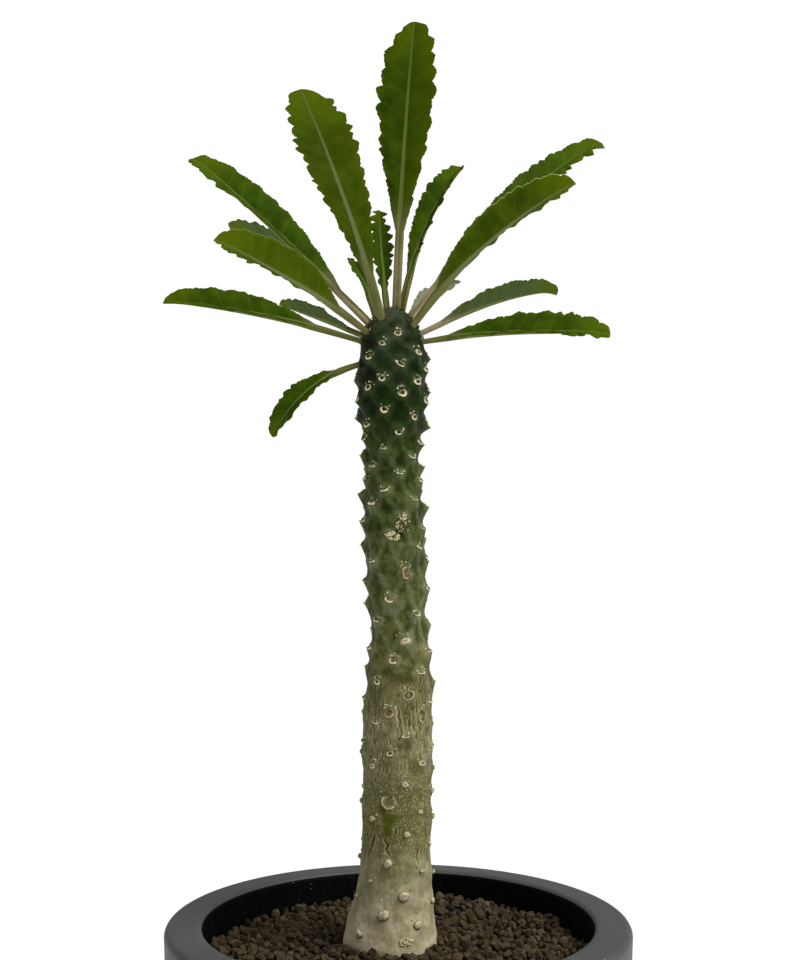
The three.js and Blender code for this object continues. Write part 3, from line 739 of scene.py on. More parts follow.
def stem_material():
    paint = Paint("stem_skin", 0.5, 0.035)
    x, _, z = (paint.times(axis, 1 / MM) for axis in paint.axes(paint.place))
    low, high = STEM_COLOURS_SPAN
    drift = paint.times(paint.math("SUBTRACT", paint.noise(12, 2), 0.5), 0.08)
    share = paint.math("DIVIDE", paint.math("SUBTRACT", z, low), high - low)
    share = paint.math("ADD", share, drift)

    def along_stem(*pairs):
        return paint.ramp(share, [((at - low) / (high - low), hue) for at, hue in pairs])

    # Colours up the stem; the paler stops at the apex, from 276 up, are partly its own tone and partly
    # painted sheen
    skin = along_stem(
        (84, (188, 178, 149)), (92, (177, 167, 136)), (104, (150, 147, 114)), (117, (142, 137, 97)),
        (130, (132, 131, 86)), (142, (134, 130, 94)), (155, (125, 120, 82)), (168, (109, 106, 66)),
        (181, (92, 94, 51)), (205, (82, 88, 48)), (230, (72, 82, 40)), (241, (56, 69, 25)),
        (249, (35, 50, 14)), (262, (27, 43, 10)), (276, (42, 55, 32)), (283, (66, 72, 50)),
    )
    deep = along_stem(
        (84, (156, 144, 110)), (104, (122, 117, 80)), (117, (100, 99, 56)), (142, (92, 90, 52)),
        (168, (62, 63, 20)), (193, (44, 54, 8)), (218, (34, 48, 4)), (241, (22, 37, 2)),
        (255, (9, 24, 1)), (276, (15, 30, 6)), (283, (38, 46, 23)),
    )
    pale = along_stem(
        (84, (206, 197, 172)), (104, (186, 179, 147)), (117, (170, 168, 122)), (142, (168, 164, 134)),
        (168, (146, 147, 113)), (193, (128, 132, 97)), (218, (114, 122, 84)), (241, (92, 102, 60)),
        (255, (56, 72, 36)), (276, (78, 90, 68)), (283, (92, 98, 78)),
    )
    # Mottled skin, with painted shade below each tubercle, and pale on the ridges and round the scars
    paint.colour = paint.mix(paint.band(paint.noise(4.5, 3, 0.6), 0.36, 0.62), deep, skin)
    paint.cover(deep, "painted_shade", 0.85)
    mottle = paint.noise(1.5, 4, 0.65)
    broken = paint.band(mottle, 0.34, 0.62, 0.35, 1)
    paint.cover(pale, "ridge", broken, 0.62)
    paint.cover(pale, "halo", broken, 0.55)
    veil = paint.band(paint.noise(7, 4, 0.6), 0.5, 0.72, 0, 0.55)
    paint.cover(pale, veil, paint.band(z, 250, 225, 0.3, 1.0))
    # Painted light: the left side of the foot lightened against the shade that falls there
    paint.cover((222, 210, 178), paint.band(x, -5, -14), paint.band(z, 96, 87), 0.6)
    # Flecks all over, and upright streaks on the lower part
    fleck = paint.noise(0.8, 3, 0.7, paint.stretched(1, 1, 0.5))
    paint.cover(deep, paint.band(fleck, 0.32, 0.6, 0.32, 0))
    streak = paint.noise(0.75, 4, 0.7, paint.stretched(1, 1, 0.2))
    lower = paint.times(paint.band(z, 184, 150), paint.band(z, 88, 124, 0.25, 1.0))
    paint.cover(pale, paint.band(streak, 0.5, 0.68), lower, 0.5)
    paint.cover(deep, paint.band(streak, 0.46, 0.3), lower, 0.55)
    # Long wrinkles with pale lips in the middle, and a fine net below them
    wander = paint.noise(2.3, 3, 0.55, paint.stretched(1, 1, 0.24))
    contour = paint.math("ABSOLUTE", paint.math("SUBTRACT", wander, 0.5))
    wrinkled = paint.times(paint.band(z, 174, 164), paint.band(z, 132, 144))
    wrinkle = paint.times(paint.band(contour, 0.016, 0.004), wrinkled)
    paint.cover(pale, paint.band(contour, 0.036, 0.02), paint.flip(wrinkle), wrinkled, 0.3)
    paint.cover((52, 50, 28), wrinkle, 0.75)
    net = paint.cells(0.95, "DISTANCE_TO_EDGE", paint.stretched(1, 1, 0.75))["Distance"]
    net = paint.band(net, 0.03, 0.17)
    netted = paint.times(paint.band(z, 108, 118), paint.band(z, 146, 132))
    paint.cover(deep, paint.flip(net), netted, 0.9)
    # Green bark, and the cracks with their lips
    paint.cover(paint.mix(mottle, (68, 73, 10), (92, 97, 24)), "green", 0.92)
    paint.cover((192, 183, 136), "lip", 0.75)
    paint.cover((64, 60, 20), "crack", 0.92)
    heights = [
        (streak, 0.16), (fleck, 0.08), (paint.times(net, netted), 0.2), (paint.times(wrinkle, -1.0), 0.25)]
    return paint.finish(heights, paint.band(z, 130, 250, 0.6, 0.36))


def make_stem():
    buried = np.arange(0, run_at(STEM_FINE_FROM), STEM_BURIED_PITCH)
    rows = np.concatenate([buried, np.arange(buried[-1] + 1, STEM_RUN[-1] - 0.3, STEM_ROW_PITCH)])
    angles = np.linspace(-np.pi, np.pi, STEM_COLUMNS, endpoint=False)
    run = np.repeat(rows, STEM_COLUMNS)
    azimuth = np.tile(angles, len(rows))
    relief, tints = skin_relief(run, azimuth)
    ends = [[STEM_X[0], 0, STEM_Z[0]], [STEM_X[-1], 0, at_run(rows[-1], STEM_Z) + 0.15]]
    points = np.concatenate([skin_places(run, azimuth, relief), ends])
    values = {key: np.concatenate([tint, [0, 0]]) for key, tint in tints.items()}
    faces = tube_faces(len(rows), STEM_COLUMNS)
    make_piece("stem_skin", points, faces, [stem_material()], ["stem"], values)


make_stem()


# Leaf scars on the tubercles' tips, crumbs of cork above them, crusts, and bits at the leaves' feet
SCAR_COLUMNS = 24
SCAR_RINGS = (0.12, 0.26, 0.4, 0.52, 0.64, 0.76, 0.88, 1.0, 1.12, 1.26)
# The dark and the light colour of what fills an unusual scar
SCAR_FILLINGS = {
    "orange": ((64, 44, 22), (130, 94, 52)),
    "green": ((52, 66, 12), (76, 88, 30)),
    "tan": ((96, 84, 52), (128, 114, 76)),
}


def blob_template(subdivisions):
    ball = bmesh.new()
    bmesh.ops.create_icosphere(ball, subdivisions=subdivisions, radius=1)
    points = np.array([v.co[:] for v in ball.verts])
    faces = np.array([[v.index for v in f.verts] for f in ball.faces])
    ball.free()
    return points, faces


def scar_material():
    paint = Paint("leaf_scars", 0.65, 0.1)
    mottle = paint.noise(0.45, 3, 0.7)
    cream = paint.blend(mottle, 0.3, 0.7, (196, 184, 138), (238, 228, 192))
    aged = paint.blend(mottle, 0.3, 0.7, (168, 156, 124), (208, 198, 168))
    # Outside the pale rim: olive-brown where fresh, partly the scar's own colour and partly a painted
    # shadow border round it, and tan where worn
    rind_and_shadow = paint.mix("worn", (56, 58, 24), (128, 120, 82))
    pit = paint.blend(mottle, 0.35, 0.65, (48, 34, 16), (94, 70, 40))
    for key, hues in SCAR_FILLINGS.items():
        pit = paint.mix(key, pit, paint.blend(mottle, 0.35, 0.65, *hues))
    paint.colour = paint.mix("bone", rind_and_shadow, paint.mix("worn", cream, aged))
    paint.cover(pit, "pit")
    return paint.finish([(mottle, 0.12)])


def scar_patch(spot):
    """One scar spread on the skin: run, azimuth and height of its points, and their tints."""
    rng = draws(100 + spot.number)
    unusual = UNUSUAL_SCARS.get(spot.number, {})
    fillings = {key: unusual.get(key, 0.0) for key in SCAR_FILLINGS}
    filled = any(fillings.values())
    worn = float(np.clip(smoothstep(-spot.z, -158, -118) + rng.normal(0, 0.12), 0, 1))
    worn = unusual.get("worn", worn)
    turn = 2 * np.pi * np.arange(SCAR_COLUMNS) / SCAR_COLUMNS
    share = np.array(SCAR_RINGS)[:, None]
    low = 0.5 - 0.5 * np.sin(turn + rng.normal(0, 0.35))
    jag = 0.5 * np.sin(3 * turn + rng.uniform(0, 6)) + 0.5 * np.sin(7 * turn + rng.uniform(0, 6))
    wobble = 1 + 0.09 * np.sin(2 * turn + rng.uniform(0, 6)) + 0.08 * jag
    size = spot.scar * lerp(1, 0.82, worn)
    hole = rng.uniform(0.24, 0.5)

    # A ring, thick and whole below and thin and broken above, or a knob where it is worn
    strength = lerp(rng.uniform(0, 0.6) + 0.5 * jag, 1.0, smoothstep(low, 0.2, 0.7))
    strength = np.clip(strength, 0, 1)
    ring = np.exp(-((share - 0.7) / 0.24) ** 2) * lerp(0.12, 0.45, low) * (0.6 + 0.4 * strength)
    ring = ring - (0.15 if filled else 0.5) * np.exp(-(share / hole) ** 2)
    dome = 1.05 * np.sqrt(np.clip(1 - (share / 1.04) ** 2, 0, 1)) - 0.2 * np.exp(-(share / 0.3) ** 2)
    lift = lerp(ring, dome * (0.85 + 0.15 * jag), worn) * size - 0.5 * smoothstep(share, 1.0, 1.26)
    lip_from = lerp(0.55, hole, smoothstep(low, 0.3, 0.8))
    lip = smoothstep(share, lip_from, lip_from + 0.15) * (1 - smoothstep(share, 0.84, 1.04))
    bone = lerp(lip * strength, 1 - smoothstep(share, 0.72, 1.0), worn)
    pit = lerp(1 - smoothstep(share, hole, hole + 0.18), 0.35 * (share < 0.2), worn)
    if filled:
        pit = 1 - smoothstep(share, 0.62, 0.76)
        bone = bone * unusual.get("rim", 0.6)

    across = share * size * unusual.get("wide", rng.uniform(0.9, 1.2)) * wobble * np.cos(turn)
    upward = share * size * unusual.get("tall", rng.uniform(0.75, 1.1)) * wobble * 0.85 * np.sin(turn)
    lean = radians(unusual.get("lean", rng.normal(0, 10)))
    across, upward = (
        across * cos(lean) - upward * sin(lean),
        across * sin(lean) + upward * cos(lean))
    centre = spot.run + 0.75 * size * (1 - 0.8 * worn)
    tints = {"bone": bone, "pit": pit, "worn": worn} | fillings
    tints = {key: np.append(np.broadcast_to(tint, lift.shape).ravel(), np.ravel(tint)[0])
             for key, tint in tints.items()}
    return {
        "run": np.append((centre + upward).ravel(), centre),
        "azimuth": np.append((spot.azimuth + across / at_run(centre, STEM_R)).ravel(), spot.azimuth),
        "lift": np.append(lift.ravel(), lift[0].mean()),
    } | tints


Crumb = namedtuple("Crumb", "azimuth run size bone worn pit lift")


def scar_crumbs():
    """Small grains: above the scars, in the crusts and round the leaves' feet."""
    rng = draws(2)
    crumbs = []
    for spot in TUBERCLES.values():
        radius = at_run(spot.run, STEM_R)
        old = smoothstep(-spot.z, -150, -120)
        unusual = UNUSUAL_SCARS.get(spot.number, {})
        for _ in range(rng.integers(2, 7)):
            turn = radians(rng.uniform(20, 160))
            away = spot.scar * rng.uniform(1.15, 1.65)
            across = away * cos(turn) * unusual.get("wide", 1)
            upward = away * sin(turn) * unusual.get("tall", 1)
            crumbs.append(Crumb(
                spot.azimuth + across / radius, spot.run + 0.75 * spot.scar + upward,
                rng.uniform(0.15, 0.42, 3), rng.uniform(0.4, 1), old, 0.0, 0.05))
    for turn, z, wide, tall, count, dark in CRUSTS:
        run, radius = run_at(z), at_run(run_at(z), STEM_R)
        for _ in range(count):
            away, way = sqrt(rng.uniform()), rng.uniform(0, 2 * pi)
            is_dark = rng.uniform() < dark
            crumbs.append(Crumb(
                radians(turn) + wide * away * cos(way) / radius, run + tall * away * sin(way),
                rng.uniform(0.2, 0.48, 3), 0.0 if is_dark else rng.uniform(0.7, 1), 0.3, 0.0,
                rng.uniform(0, 0.25)))
    for leaf in LEAVES:
        run, radius = run_at(leaf.z), at_run(run_at(leaf.z), STEM_R)
        for _ in range(7):
            across = rng.choice([-1, 1]) * (leaf.stalk / 2 + rng.uniform(-0.1, 0.7))
            crumbs.append(Crumb(
                radians(leaf.at) + across / radius, run + rng.uniform(-1.6, 1.2),
                rng.uniform(0.25, 0.6, 3), rng.choice([0.0, 0.0, 0.1, 0.7]), 0.0,
                rng.choice([0.3, 0.8]), rng.uniform(0.1, 0.5)))
    return crumbs


def patch_faces():
    """A scar's own faces: its rings, a fan in the middle and one at the back."""
    rings = np.array(tube_faces(len(SCAR_RINGS), SCAR_COLUMNS)[:-2 * SCAR_COLUMNS])[:, ::-1]
    here = np.arange(SCAR_COLUMNS)
    after = (here + 1) % SCAR_COLUMNS
    patch_size = len(SCAR_RINGS) * SCAR_COLUMNS
    last = patch_size - SCAR_COLUMNS
    middle = np.full(SCAR_COLUMNS, patch_size)
    fans = [[middle, here, after], [middle + 1, last + after, last + here]]
    return rings, np.concatenate([np.stack(fan, -1) for fan in fans])


def make_scars():
    patches = [scar_patch(spot) for spot in TUBERCLES.values()]
    crumbs = scar_crumbs()
    run, azimuth, lift = (
        np.concatenate([patch[key] for patch in patches] + [[getattr(c, key) for c in crumbs]])
        for key in ("run", "azimuth", "lift"))
    relief, _ = skin_relief(run, azimuth)
    places = skin_places(run, azimuth, relief + lift)
    under = skin_places(run, azimuth, relief - 0.9)
    points, faces = [], []
    values = {key: [] for key in ("bone", "pit", "worn", *SCAR_FILLINGS)}
    first, count = 0, 0
    faces_of_patch = patch_faces()
    for patch in patches:
        size = len(patch["run"])
        points += [places[first:first + size], under[first + size - 1][None]]
        for part in faces_of_patch:
            faces += (part + count).tolist()
        for key, value in values.items():
            value.append(np.append(patch[key], patch[key][-1]))
        first += size
        count += size + 1
    blob, blob_faces = blob_template(1)
    for i, crumb in enumerate(crumbs):
        points.append(places[first + i] + blob * crumb.size)
        faces += (blob_faces + count).tolist()
        for key, value in values.items():
            value.append(np.full(len(blob), getattr(crumb, key, 0.0)))
        count += len(blob)
    values = {key: np.concatenate(value) for key, value in values.items()}
    make_piece("stem_scars", np.concatenate(points), faces, [scar_material()], (), values)


make_scars()


# Substrate
def soil_height(x, y):
    from_stem = np.hypot(x - STEM_X_AT_SOIL, y)
    share = np.clip((from_stem - 14) / (MOUTH_RADIUS - 14), 0, 1)
    waves = 0.6 * np.sin(x * 0.21 + 1.3) * np.sin(y * 0.17 + 0.4) + 0.45 * np.sin(x * 0.11 - y * 0.13)
    for heap_x, heap_y, wide, high in SOIL_HEAPS:
        waves = waves + high * np.exp(-((x - heap_x) ** 2 + (y - heap_y) ** 2) / wide ** 2)
    return lerp(SOIL_AT_STEM, SOIL_AT_WALL, share) + waves


def soil_material():
    paint = Paint("mineral_grains", 0.9, 0.1)
    kind = paint.ramp("kind", [
        (0.0, (50, 44, 32)), (0.3, (74, 64, 45)), (0.55, (90, 76, 54)), (0.75, (88, 79, 60)),
        (0.9, (94, 87, 72)), (1.0, (128, 113, 80))])
    speckle = paint.noise(0.6, 4, 0.7)
    paint.colour = paint.mix(paint.band(speckle, 0.36, 0.6), paint.mix(0.7, kind, (22, 18, 13)), kind)
    return paint.finish([(speckle, 0.4), (paint.noise(0.2, 2), 0.12)])


def make_bed(material):
    """The ground under the grains, from the stem's hole over the top and down the pot's inside."""
    bottom = FLOOR + GAP
    stem_foot, buried_x = STEM_PROFILE[0][:2]
    hole_z = np.linspace(stem_foot - GAP, SOIL_AT_STEM, 14)
    rows = [(np.interp(z, STEM_Z, STEM_R) + GAP, z, 0.0, False) for z in hole_z]
    ends = rows[-1][0], pot_inner_radius(SOIL_AT_WALL) - GAP
    rows += [(lerp(*ends, i / BED_RINGS), 0, i / BED_RINGS, True) for i in range(1, BED_RINGS + 1)]
    rows += [(pot_inner_radius(z) - GAP, z, 1.0, False) for z in np.linspace(SOIL_AT_WALL - 3, bottom, 10)]
    angles = np.linspace(0, 2 * np.pi, SOIL_COLUMNS, endpoint=False)
    points = []
    for radius, z, share, on_top in rows:
        x = lerp(buried_x, 0, share) + radius * np.cos(angles)
        y = radius * np.sin(angles)
        height = soil_height(x, y) - BED_BELOW_GRAINS if on_top else np.full(SOIL_COLUMNS, z)
        points.append(np.stack([x, y, height], -1))
    points = np.concatenate([*points, [[buried_x, 0, hole_z[0]], [0, 0, bottom]]])
    faces = [face[::-1] for face in tube_faces(len(rows), SOIL_COLUMNS)]
    # The bed takes the darkest grain colour, painted shade in the gaps between the grains
    values = {"kind": np.zeros(len(points))}
    make_piece("substrate_bed", points, faces, [material], ["substrate"], values)


def make_grains(material, layer, name, lift, low, high):
    """One layer of grains: balls with flats cut on them, spread over the soil by the golden angle."""
    ball, ball_faces = blob_template(2)
    rng = draws(10 + layer)
    order = np.arange(GRAIN_COUNT)
    hole = (GRAINS_FROM / MOUTH_RADIUS) ** 2
    share = np.sqrt((order + 0.5) / GRAIN_COUNT * (1 - hole) + hole)
    radius = share * (MOUTH_RADIUS - 1.5) + rng.normal(0, 0.6, GRAIN_COUNT)
    radius = np.clip(radius, GRAINS_FROM - 0.3, MOUTH_RADIUS - 1.7)
    turn = order * GOLDEN_ANGLE + layer + rng.normal(0, 0.5, GRAIN_COUNT) / radius
    x = radius * np.cos(turn) + STEM_X_AT_SOIL * (1 - smoothstep(radius, 16, 50))
    y = radius * np.sin(turn)
    size = low + (high - low) * rng.beta(1.6, 2.6, GRAIN_COUNT)
    stones = ball[None] * size[:, None, None] * rng.uniform(0.7, 1.25, (GRAIN_COUNT, 1, 3))
    for _ in range(GRAIN_CUTS):
        facing = unit(rng.normal(size=(GRAIN_COUNT, 1, 3)))
        limit = size[:, None] * rng.uniform(0.42, 0.85, (GRAIN_COUNT, 1))
        over = np.clip((stones * facing).sum(-1) - limit, 0, None)
        stones = stones - over[..., None] * facing
    stones += rng.normal(0, 0.04, stones.shape) * size[:, None, None]
    z = soil_height(x, y) + lift * rng.uniform(0.2, 1.3, GRAIN_COUNT) - 0.6
    stones += np.stack([x, y, z], -1)[:, None]
    reach = np.clip(np.hypot(stones[..., 0], stones[..., 1]), 1, None)
    stones[..., :2] *= np.minimum(1, (MOUTH_RADIUS - GAP) / reach)[..., None]
    faces = (ball_faces[None] + np.arange(GRAIN_COUNT)[:, None, None] * len(ball)).reshape(-1, 3)
    values = {"kind": np.repeat(rng.beta(1.5, 2.2, GRAIN_COUNT), len(ball))}
    make_piece(name, stones.reshape(-1, 3), faces.tolist(), [material], (), values, False)


soil_paint = soil_material()
make_bed(soil_paint)
for grain_layer, grain_entry in enumerate(GRAIN_LAYERS):
    make_grains(soil_paint, grain_layer, *grain_entry)


# Leaves
def blade_outline(t, peak, tip_power):
    rising = np.clip(t / peak, 0, 1)
    falling = np.clip((t - peak) / (1 - peak), 0, 1)
    swell = BLADE_BASE_SHARE + (1 - BLADE_BASE_SHARE) * (1 - (1 - rising) ** BLADE_SWELL_POWER)
    return np.where(t < peak, swell, (1 - falling ** BLADE_TAPER_POWER) ** tip_power)


def tooth_row(t, count, power, rng):
    """Uneven teeth, 0 in the notches and about 1 at the points, that lean towards the leaf's tip."""
    bounds = np.concatenate([[0], np.cumsum(rng.uniform(0.5, 1.5, count))])
    bounds /= bounds[-1]
    number = np.clip(np.searchsorted(bounds, t, side="right") - 1, 0, count - 1)
    part = (t - bounds[number]) / (bounds[number + 1] - bounds[number])
    lean = rng.uniform(0.5, 0.8, count)[number]
    tall = rng.uniform(0.45, 1.15, count)[number]
    rise = np.where(part < lean, part / lean, (1 - part) / (1 - lean))
    return tall * np.clip(rise, 0, 1) ** power


def leaf_stations(leaf):
    blade = leaf.length * (1 - leaf.petiole)
    root = np.linspace(-LEAF_ROOT / leaf.length, 0, 4)[:-1]
    stalk = np.linspace(0, leaf.petiole, 14)[:-1]
    body = leaf.petiole + (1 - leaf.petiole) * np.linspace(0, 0.99, int(blade / LEAF_STEP))
    tip = 1 - (1 - leaf.petiole) * np.array([0.007, 0.004, 0.002, 0.0005])
    return np.concatenate([root, stalk, body, tip])


def leaf_line(leaf, shares, spread):
    """The midrib's points, and the ways along it, to its left and up from it."""
    heading = radians(leaf.heading)

    def direction(share):
        bent = np.clip(share, 0, None) ** leaf.bend
        rise = np.radians(lerp(*leaf.rise, bent) - leaf.hook * smoothstep(share, HOOK_FROM, 1))
        flat = np.cos(rise)
        return np.stack([flat * cos(heading), flat * sin(heading), np.sin(rise)], -1)

    steps = direction((shares[1:] + shares[:-1]) / 2) * (np.diff(shares) * leaf.length)[:, None]
    foot = on_stem(radians(leaf.at), leaf.z) - direction(np.zeros(1))[0] * LEAF_ROOT
    spine = foot + np.concatenate([np.zeros((1, 3)), np.cumsum(steps, axis=0)])
    along = direction(shares)
    level = np.array([-sin(heading), cos(heading), 0])
    upright = np.cross(along, level)
    roll = radians(leaf.roll) * spread
    side = level * np.cos(roll) + upright * np.sin(roll)
    return spine, along, side, upright * np.cos(roll) - level * np.sin(roll)


def leaf_margins(leaf, t, in_blade, usual, rng):
    """How wide the left and the right half are along the leaf, with their lobes and fine teeth."""
    deepening = lerp(0.4, 1, smoothstep(t, 0.2, 0.85))
    teeth = round(leaf.length * (1 - leaf.petiole) / SERRATION_PITCH)
    margins = []
    for depth, half in zip(leaf.teeth, leaf.halves):
        lobes = tooth_row(t, round(leaf.veins * LOBES_A_VEIN), 0.5, rng) - 0.55
        serration = tooth_row(t, teeth, 0.8, rng) - 0.5
        cut = (depth * lobes * deepening + SERRATION_DEPTH * serration) * in_blade
        kept = np.maximum(usual * lerp(1, half, in_blade), 0.3)
        margins.append(np.maximum(kept + cut, 0.25 * usual))
    return margins


def leaf_thickness(leaf, t, u, away):
    """Half the rib's width, and how thick the leaf is below and above its middle, with the rib and
    the petiole."""
    stalk = 1 - smoothstep(t, 0, 0.16)[:, None]
    rib_half = lerp(leaf.stalk * 0.42, 0.26, t ** 0.6)[:, None]
    rib_depth = lerp(RIB_DEPTH_AT_BASE, RIB_DEPTH_AT_TIP, t)[:, None]
    round_stalk = np.sqrt(np.clip(1 - (u * 0.97) ** 2, 0, 1))
    thin = lerp(BLADE_HALF_THICKNESS, EDGE_HALF_THICKNESS, smoothstep(u, 0.55, 1))
    below = np.maximum(thin, rib_depth * np.exp(-(away / rib_half) ** 2 * 1.3))
    below = lerp(below, rib_depth * round_stalk + 0.1, stalk)
    above = np.maximum(thin * 0.8, RIB_CREST * np.exp(-(away / 0.5) ** 2))
    above = lerp(above, 0.12 + 0.42 * round_stalk - 0.2 * np.exp(-(u / 0.4) ** 2), stalk)
    return rib_half, below, above


def leaf_piece(number, leaf, material):
    shares = leaf_stations(leaf)
    spread = smoothstep(shares, 0, leaf.petiole + TWIST_RUN)[:, None]
    spine, along, side, up = leaf_line(leaf, shares, spread)

    # Places on the blade: share of its length, signed share of its width, and how far to a vein
    t = np.clip((shares - leaf.petiole) / (1 - leaf.petiole), 0, 1)
    half_turn = 0.5 - 0.5 * np.cos(np.pi * np.arange(LEAF_ACROSS + 1) / LEAF_ACROSS)
    signed = np.concatenate([half_turn[::-1], -half_turn[1:]])
    hand = np.where(signed >= 0, 1, -1)
    u = np.abs(signed)
    rng = draws(50 + number)
    phases = rng.uniform(0, 1, 2)
    jitter = 0.16 * np.sin(9 * t + rng.uniform(0, 6)) + 0.07 * np.sin(23 * t + rng.uniform(0, 6))
    vein = (t * leaf.veins + jitter)[:, None] + np.where(hand > 0, *phases)
    vein = vein + VEIN_SWEEP * (1 - u ** 1.25) + 0.35

    in_blade = smoothstep(t, WAVE_FADE[0], WAVE_FADE[1]) * (1 - smoothstep(t, WAVE_FADE[2], 1))
    outline = blade_outline(t, leaf.peak, leaf.tip)
    usual = np.maximum(outline * leaf.width / 2, leaf.stalk / 2 * (1 - t))
    margins = leaf_margins(leaf, t, in_blade, usual, rng)
    x = np.where(hand > 0, margins[0][:, None], margins[1][:, None]) * signed
    away = np.abs(x)

    # Waves of the blade, and its fold
    waves = round(2 * leaf.length * (1 - leaf.petiole) / TOOTH_PITCH) * t + 5
    shift = leaf.length + hand * RUFFLE_SHIFT_BETWEEN_EDGES / 2
    ruffle = RUFFLE_HEIGHT * np.sin(np.pi * waves[:, None] / TEETH_PER_RUFFLE + shift)
    fine_ruffle = 0.18 * np.sin(2 * np.pi * vein + 1.1) * u ** 4
    puff = 0.08 * (np.abs(np.sin(np.pi * vein)) ** 0.8 - 0.55) * smoothstep(u, 0.06, 0.3) * (1 - u ** 3)
    arch = 0.45 * np.sin(np.pi * u) * (usual / 9)[:, None]
    lift = (ruffle * u ** 1.5 + fine_ruffle + puff) * in_blade[:, None] + arch * spread
    droop = np.where(hand > 0, *leaf.droop) * smoothstep(t, DROOP_FROM, 0.9)[:, None]
    fold = np.radians(leaf.fold - droop) * spread
    rise = np.sqrt(away ** 2 + 0.16) - 0.4

    rib_half, below, above = leaf_thickness(leaf, t, u, away)
    face_x = -hand * np.sin(fold) * smoothstep(u, 0, 0.15)
    face_up = np.sqrt(1 - face_x ** 2)

    def skin(offset):
        across = x * np.cos(fold) + (lift + offset) * face_x
        upward = rise * np.sin(fold) + (lift + offset) * face_up
        return spine[:, None] + across[..., None] * side[:, None] + upward[..., None] * up[:, None]

    rings = np.concatenate([skin(above), skin(-below)[:, ::-1]], axis=1)
    ends = [rings[0].mean(0), rings[-1].mean(0) + along[-1] * 0.15]
    points = np.concatenate([rings.reshape(-1, 3), ends])
    faces = [face[::-1] for face in tube_faces(*rings.shape[:2])]

    def both(values, under=None):
        """A value for each point: on the upper side, then the under side, then the two ends."""
        sides = [np.broadcast_to(side, x.shape) for side in (values, values if under is None else under)]
        grid = np.concatenate([sides[0], sides[1][:, ::-1]], axis=1)
        return np.concatenate([grid.ravel(), grid[0, :1], grid[-1, :1]])

    stalk_end = leaf.petiole * 0.55, leaf.petiole + 0.16
    values = {
        "blade": np.stack([both(t[:, None]), both(u), both(vein)], -1),
        "rib": both(away / rib_half),
        "upper": both(1.0, 0.0),
        "stalk": both(1 - smoothstep(shares, *stalk_end)[:, None]),
        "lime": both(np.where(hand > 0, *leaf.lime)),
    } | {key: np.full(len(points), getattr(leaf, key)) for key in ("grey", "blush", "pale")}
    name = f"dorstenia_leaf_{number:02d}"
    make_piece(name, points, faces, [material], [f"leaf_{number:02d}"], values)


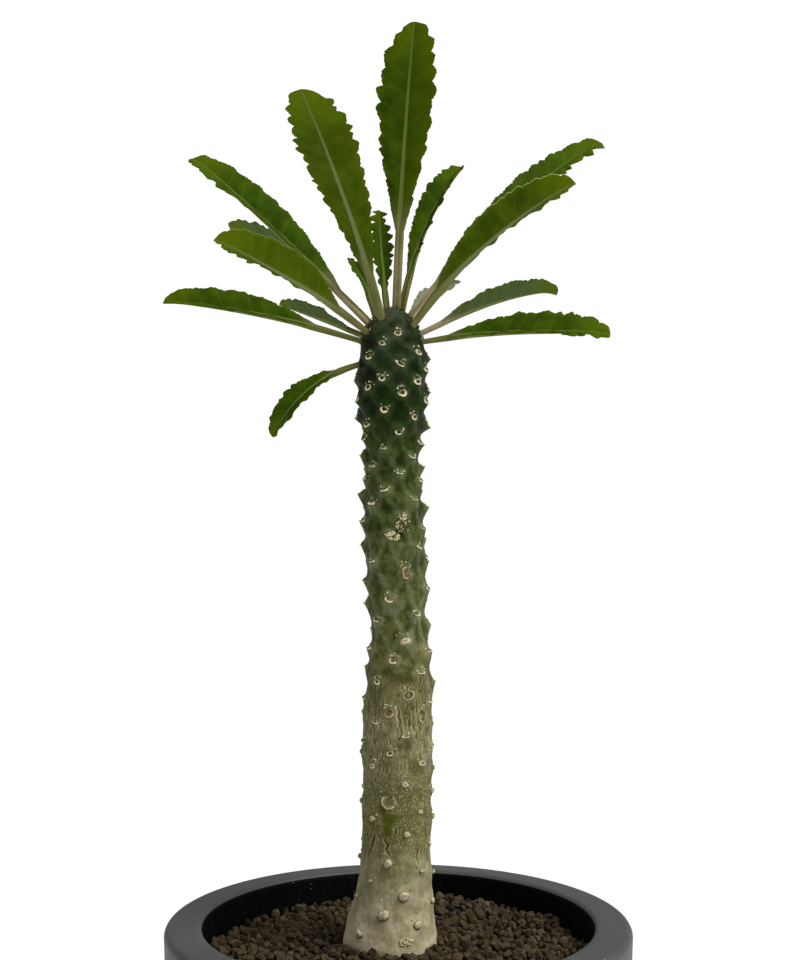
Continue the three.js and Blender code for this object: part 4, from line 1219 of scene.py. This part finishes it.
def leaf_material():
    paint = Paint("leaf_blade", 0.6, 0.02)
    t, u, v = paint.axes(paint.attribute("blade", "Vector"))
    cloud = paint.noise(7, 3, 0.55)
    fine = paint.noise(0.8, 3, 0.6)
    # Green blade, dulled and paled by painted sheen on some leaves, and yellow-green towards the tip and
    # the edge
    top = paint.blend(cloud, 0.35, 0.65, (44, 66, 3), (60, 83, 5))
    under = paint.blend(cloud, 0.35, 0.65, (54, 74, 3), (72, 91, 12))
    paint.colour = paint.mix("upper", under, top)
    # Painted sheen: leaves seen at a grazing angle turn dull and pale, near white at the most
    paint.cover(paint.mix("upper", (86, 104, 60), (70, 88, 42)), paint.band("grey", 0, 1), 0.85)
    paint.cover((150, 158, 128), paint.band("grey", 1.0, 1.6))
    lime = paint.mix("upper", (94, 112, 3), (78, 98, 2))
    tip, edge = paint.band(t, 0.7, 0.98, 0, 0.85), paint.band(u, 0.72, 1.0, 0, 0.3)
    paint.cover(lime, paint.math("MAXIMUM", tip, edge))
    # Yellow-green over a whole leaf or one half: partly the leaf's own tone, partly painted light
    paint.cover(lime, "lime", 0.8)
    paint.cover((30, 46, 2), paint.band(fine, 0.3, 0.7, 0.16, 0))
    # Faint veins, and the blade darker between them
    from_vein = paint.math("PINGPONG", v, 0.5)
    off_stalk = paint.flip("stalk")
    inner = paint.band(u, 0.96, 0.7)
    paint.cover((104, 120, 50), paint.band(from_vein, 0.09, 0.02), inner, off_stalk, 0.1)
    paint.cover((30, 46, 2), paint.band(from_vein, 0.1, 0.45), off_stalk, 0.07)
    # Rib, petiole, and the edge that the light catches
    rib = paint.mix("upper", (118, 126, 78), (106, 118, 58))
    paint.cover(rib, paint.band("rib", 1.3, 0.7), paint.band(t, 0.5, 1.0, 0.9, 0.5))
    olive = paint.blend(cloud, 0.35, 0.65, (100, 101, 52), (116, 113, 68))
    pink = paint.blend(cloud, 0.35, 0.65, (158, 140, 106), (178, 162, 132))
    paint.cover(paint.mix("blush", olive, pink), "stalk", 0.92)
    paint.cover((190, 200, 124), "pale", paint.band(u, 0.965, 1.0), paint.band(t, 0.3, 0.55), 0.7)
    vein_ridge = paint.times(paint.band(from_vein, 0.14, 0.0), paint.flip("upper"))
    return paint.finish([(vein_ridge, 0.06), (fine, 0.07)])


leaf_paint = leaf_material()
for leaf_number, leaf_entry in enumerate(LEAVES, start=1):
    leaf_piece(leaf_number, leaf_entry, leaf_paint)


# Studio: a near-white floor, a broad soft key light from the right, and a plain bright surround
def make_floor():
    bm = bmesh.new()
    bmesh.ops.create_circle(bm, cap_ends=True, segments=96, radius=FLOOR_RADIUS * MM)
    mesh = bpy.data.meshes.new("floor")
    bm.to_mesh(mesh)
    paint = Paint("floor_paper", 0.9, 0.1)
    paint.colour = paint.mix(paint.noise(400, 2), (249, 249, 249), (252, 252, 252))
    mesh.materials.append(paint.finish())
    floor = add_object("floor", mesh)


def make_surround():
    """A white world: the fill light on the plant, and the brighter white that the camera sees."""
    world = bpy.data.worlds.new("studio")
    bpy.context.scene.world = world
    world.use_nodes = True
    nodes, links = world.node_tree.nodes, world.node_tree.links
    choice = nodes.new("ShaderNodeMixShader")
    links.new(nodes.new("ShaderNodeLightPath").outputs["Is Camera Ray"], choice.inputs[0])
    for i, strength in enumerate((FILL_STRENGTH, SEEN_STRENGTH), start=1):
        white = nodes.new("ShaderNodeBackground")
        white.inputs["Color"].default_value = (1, 1, 1, 1)
        white.inputs["Strength"].default_value = strength
        links.new(white.outputs[0], choice.inputs[i])
    links.new(choice.outputs[0], nodes["World Output"].inputs[0])


def make_key_light():
    data = bpy.data.lights.new("key", "SUN")
    data.energy = KEY_STRENGTH
    data.angle = radians(KEY_SPREAD)
    light = add_object("key", data)
    turn, height = radians(KEY_AZIMUTH), radians(KEY_HEIGHT)
    flat = cos(height)
    light.location = Vector((flat * cos(turn), flat * sin(turn), sin(height)))
    light.rotation_euler = light.location.to_track_quat("Z", "Y").to_euler()


make_floor()
make_surround()
make_key_light()
bpy.context.scene.view_settings.view_transform = "Standard"
bpy.context.scene.view_settings.look = "None"
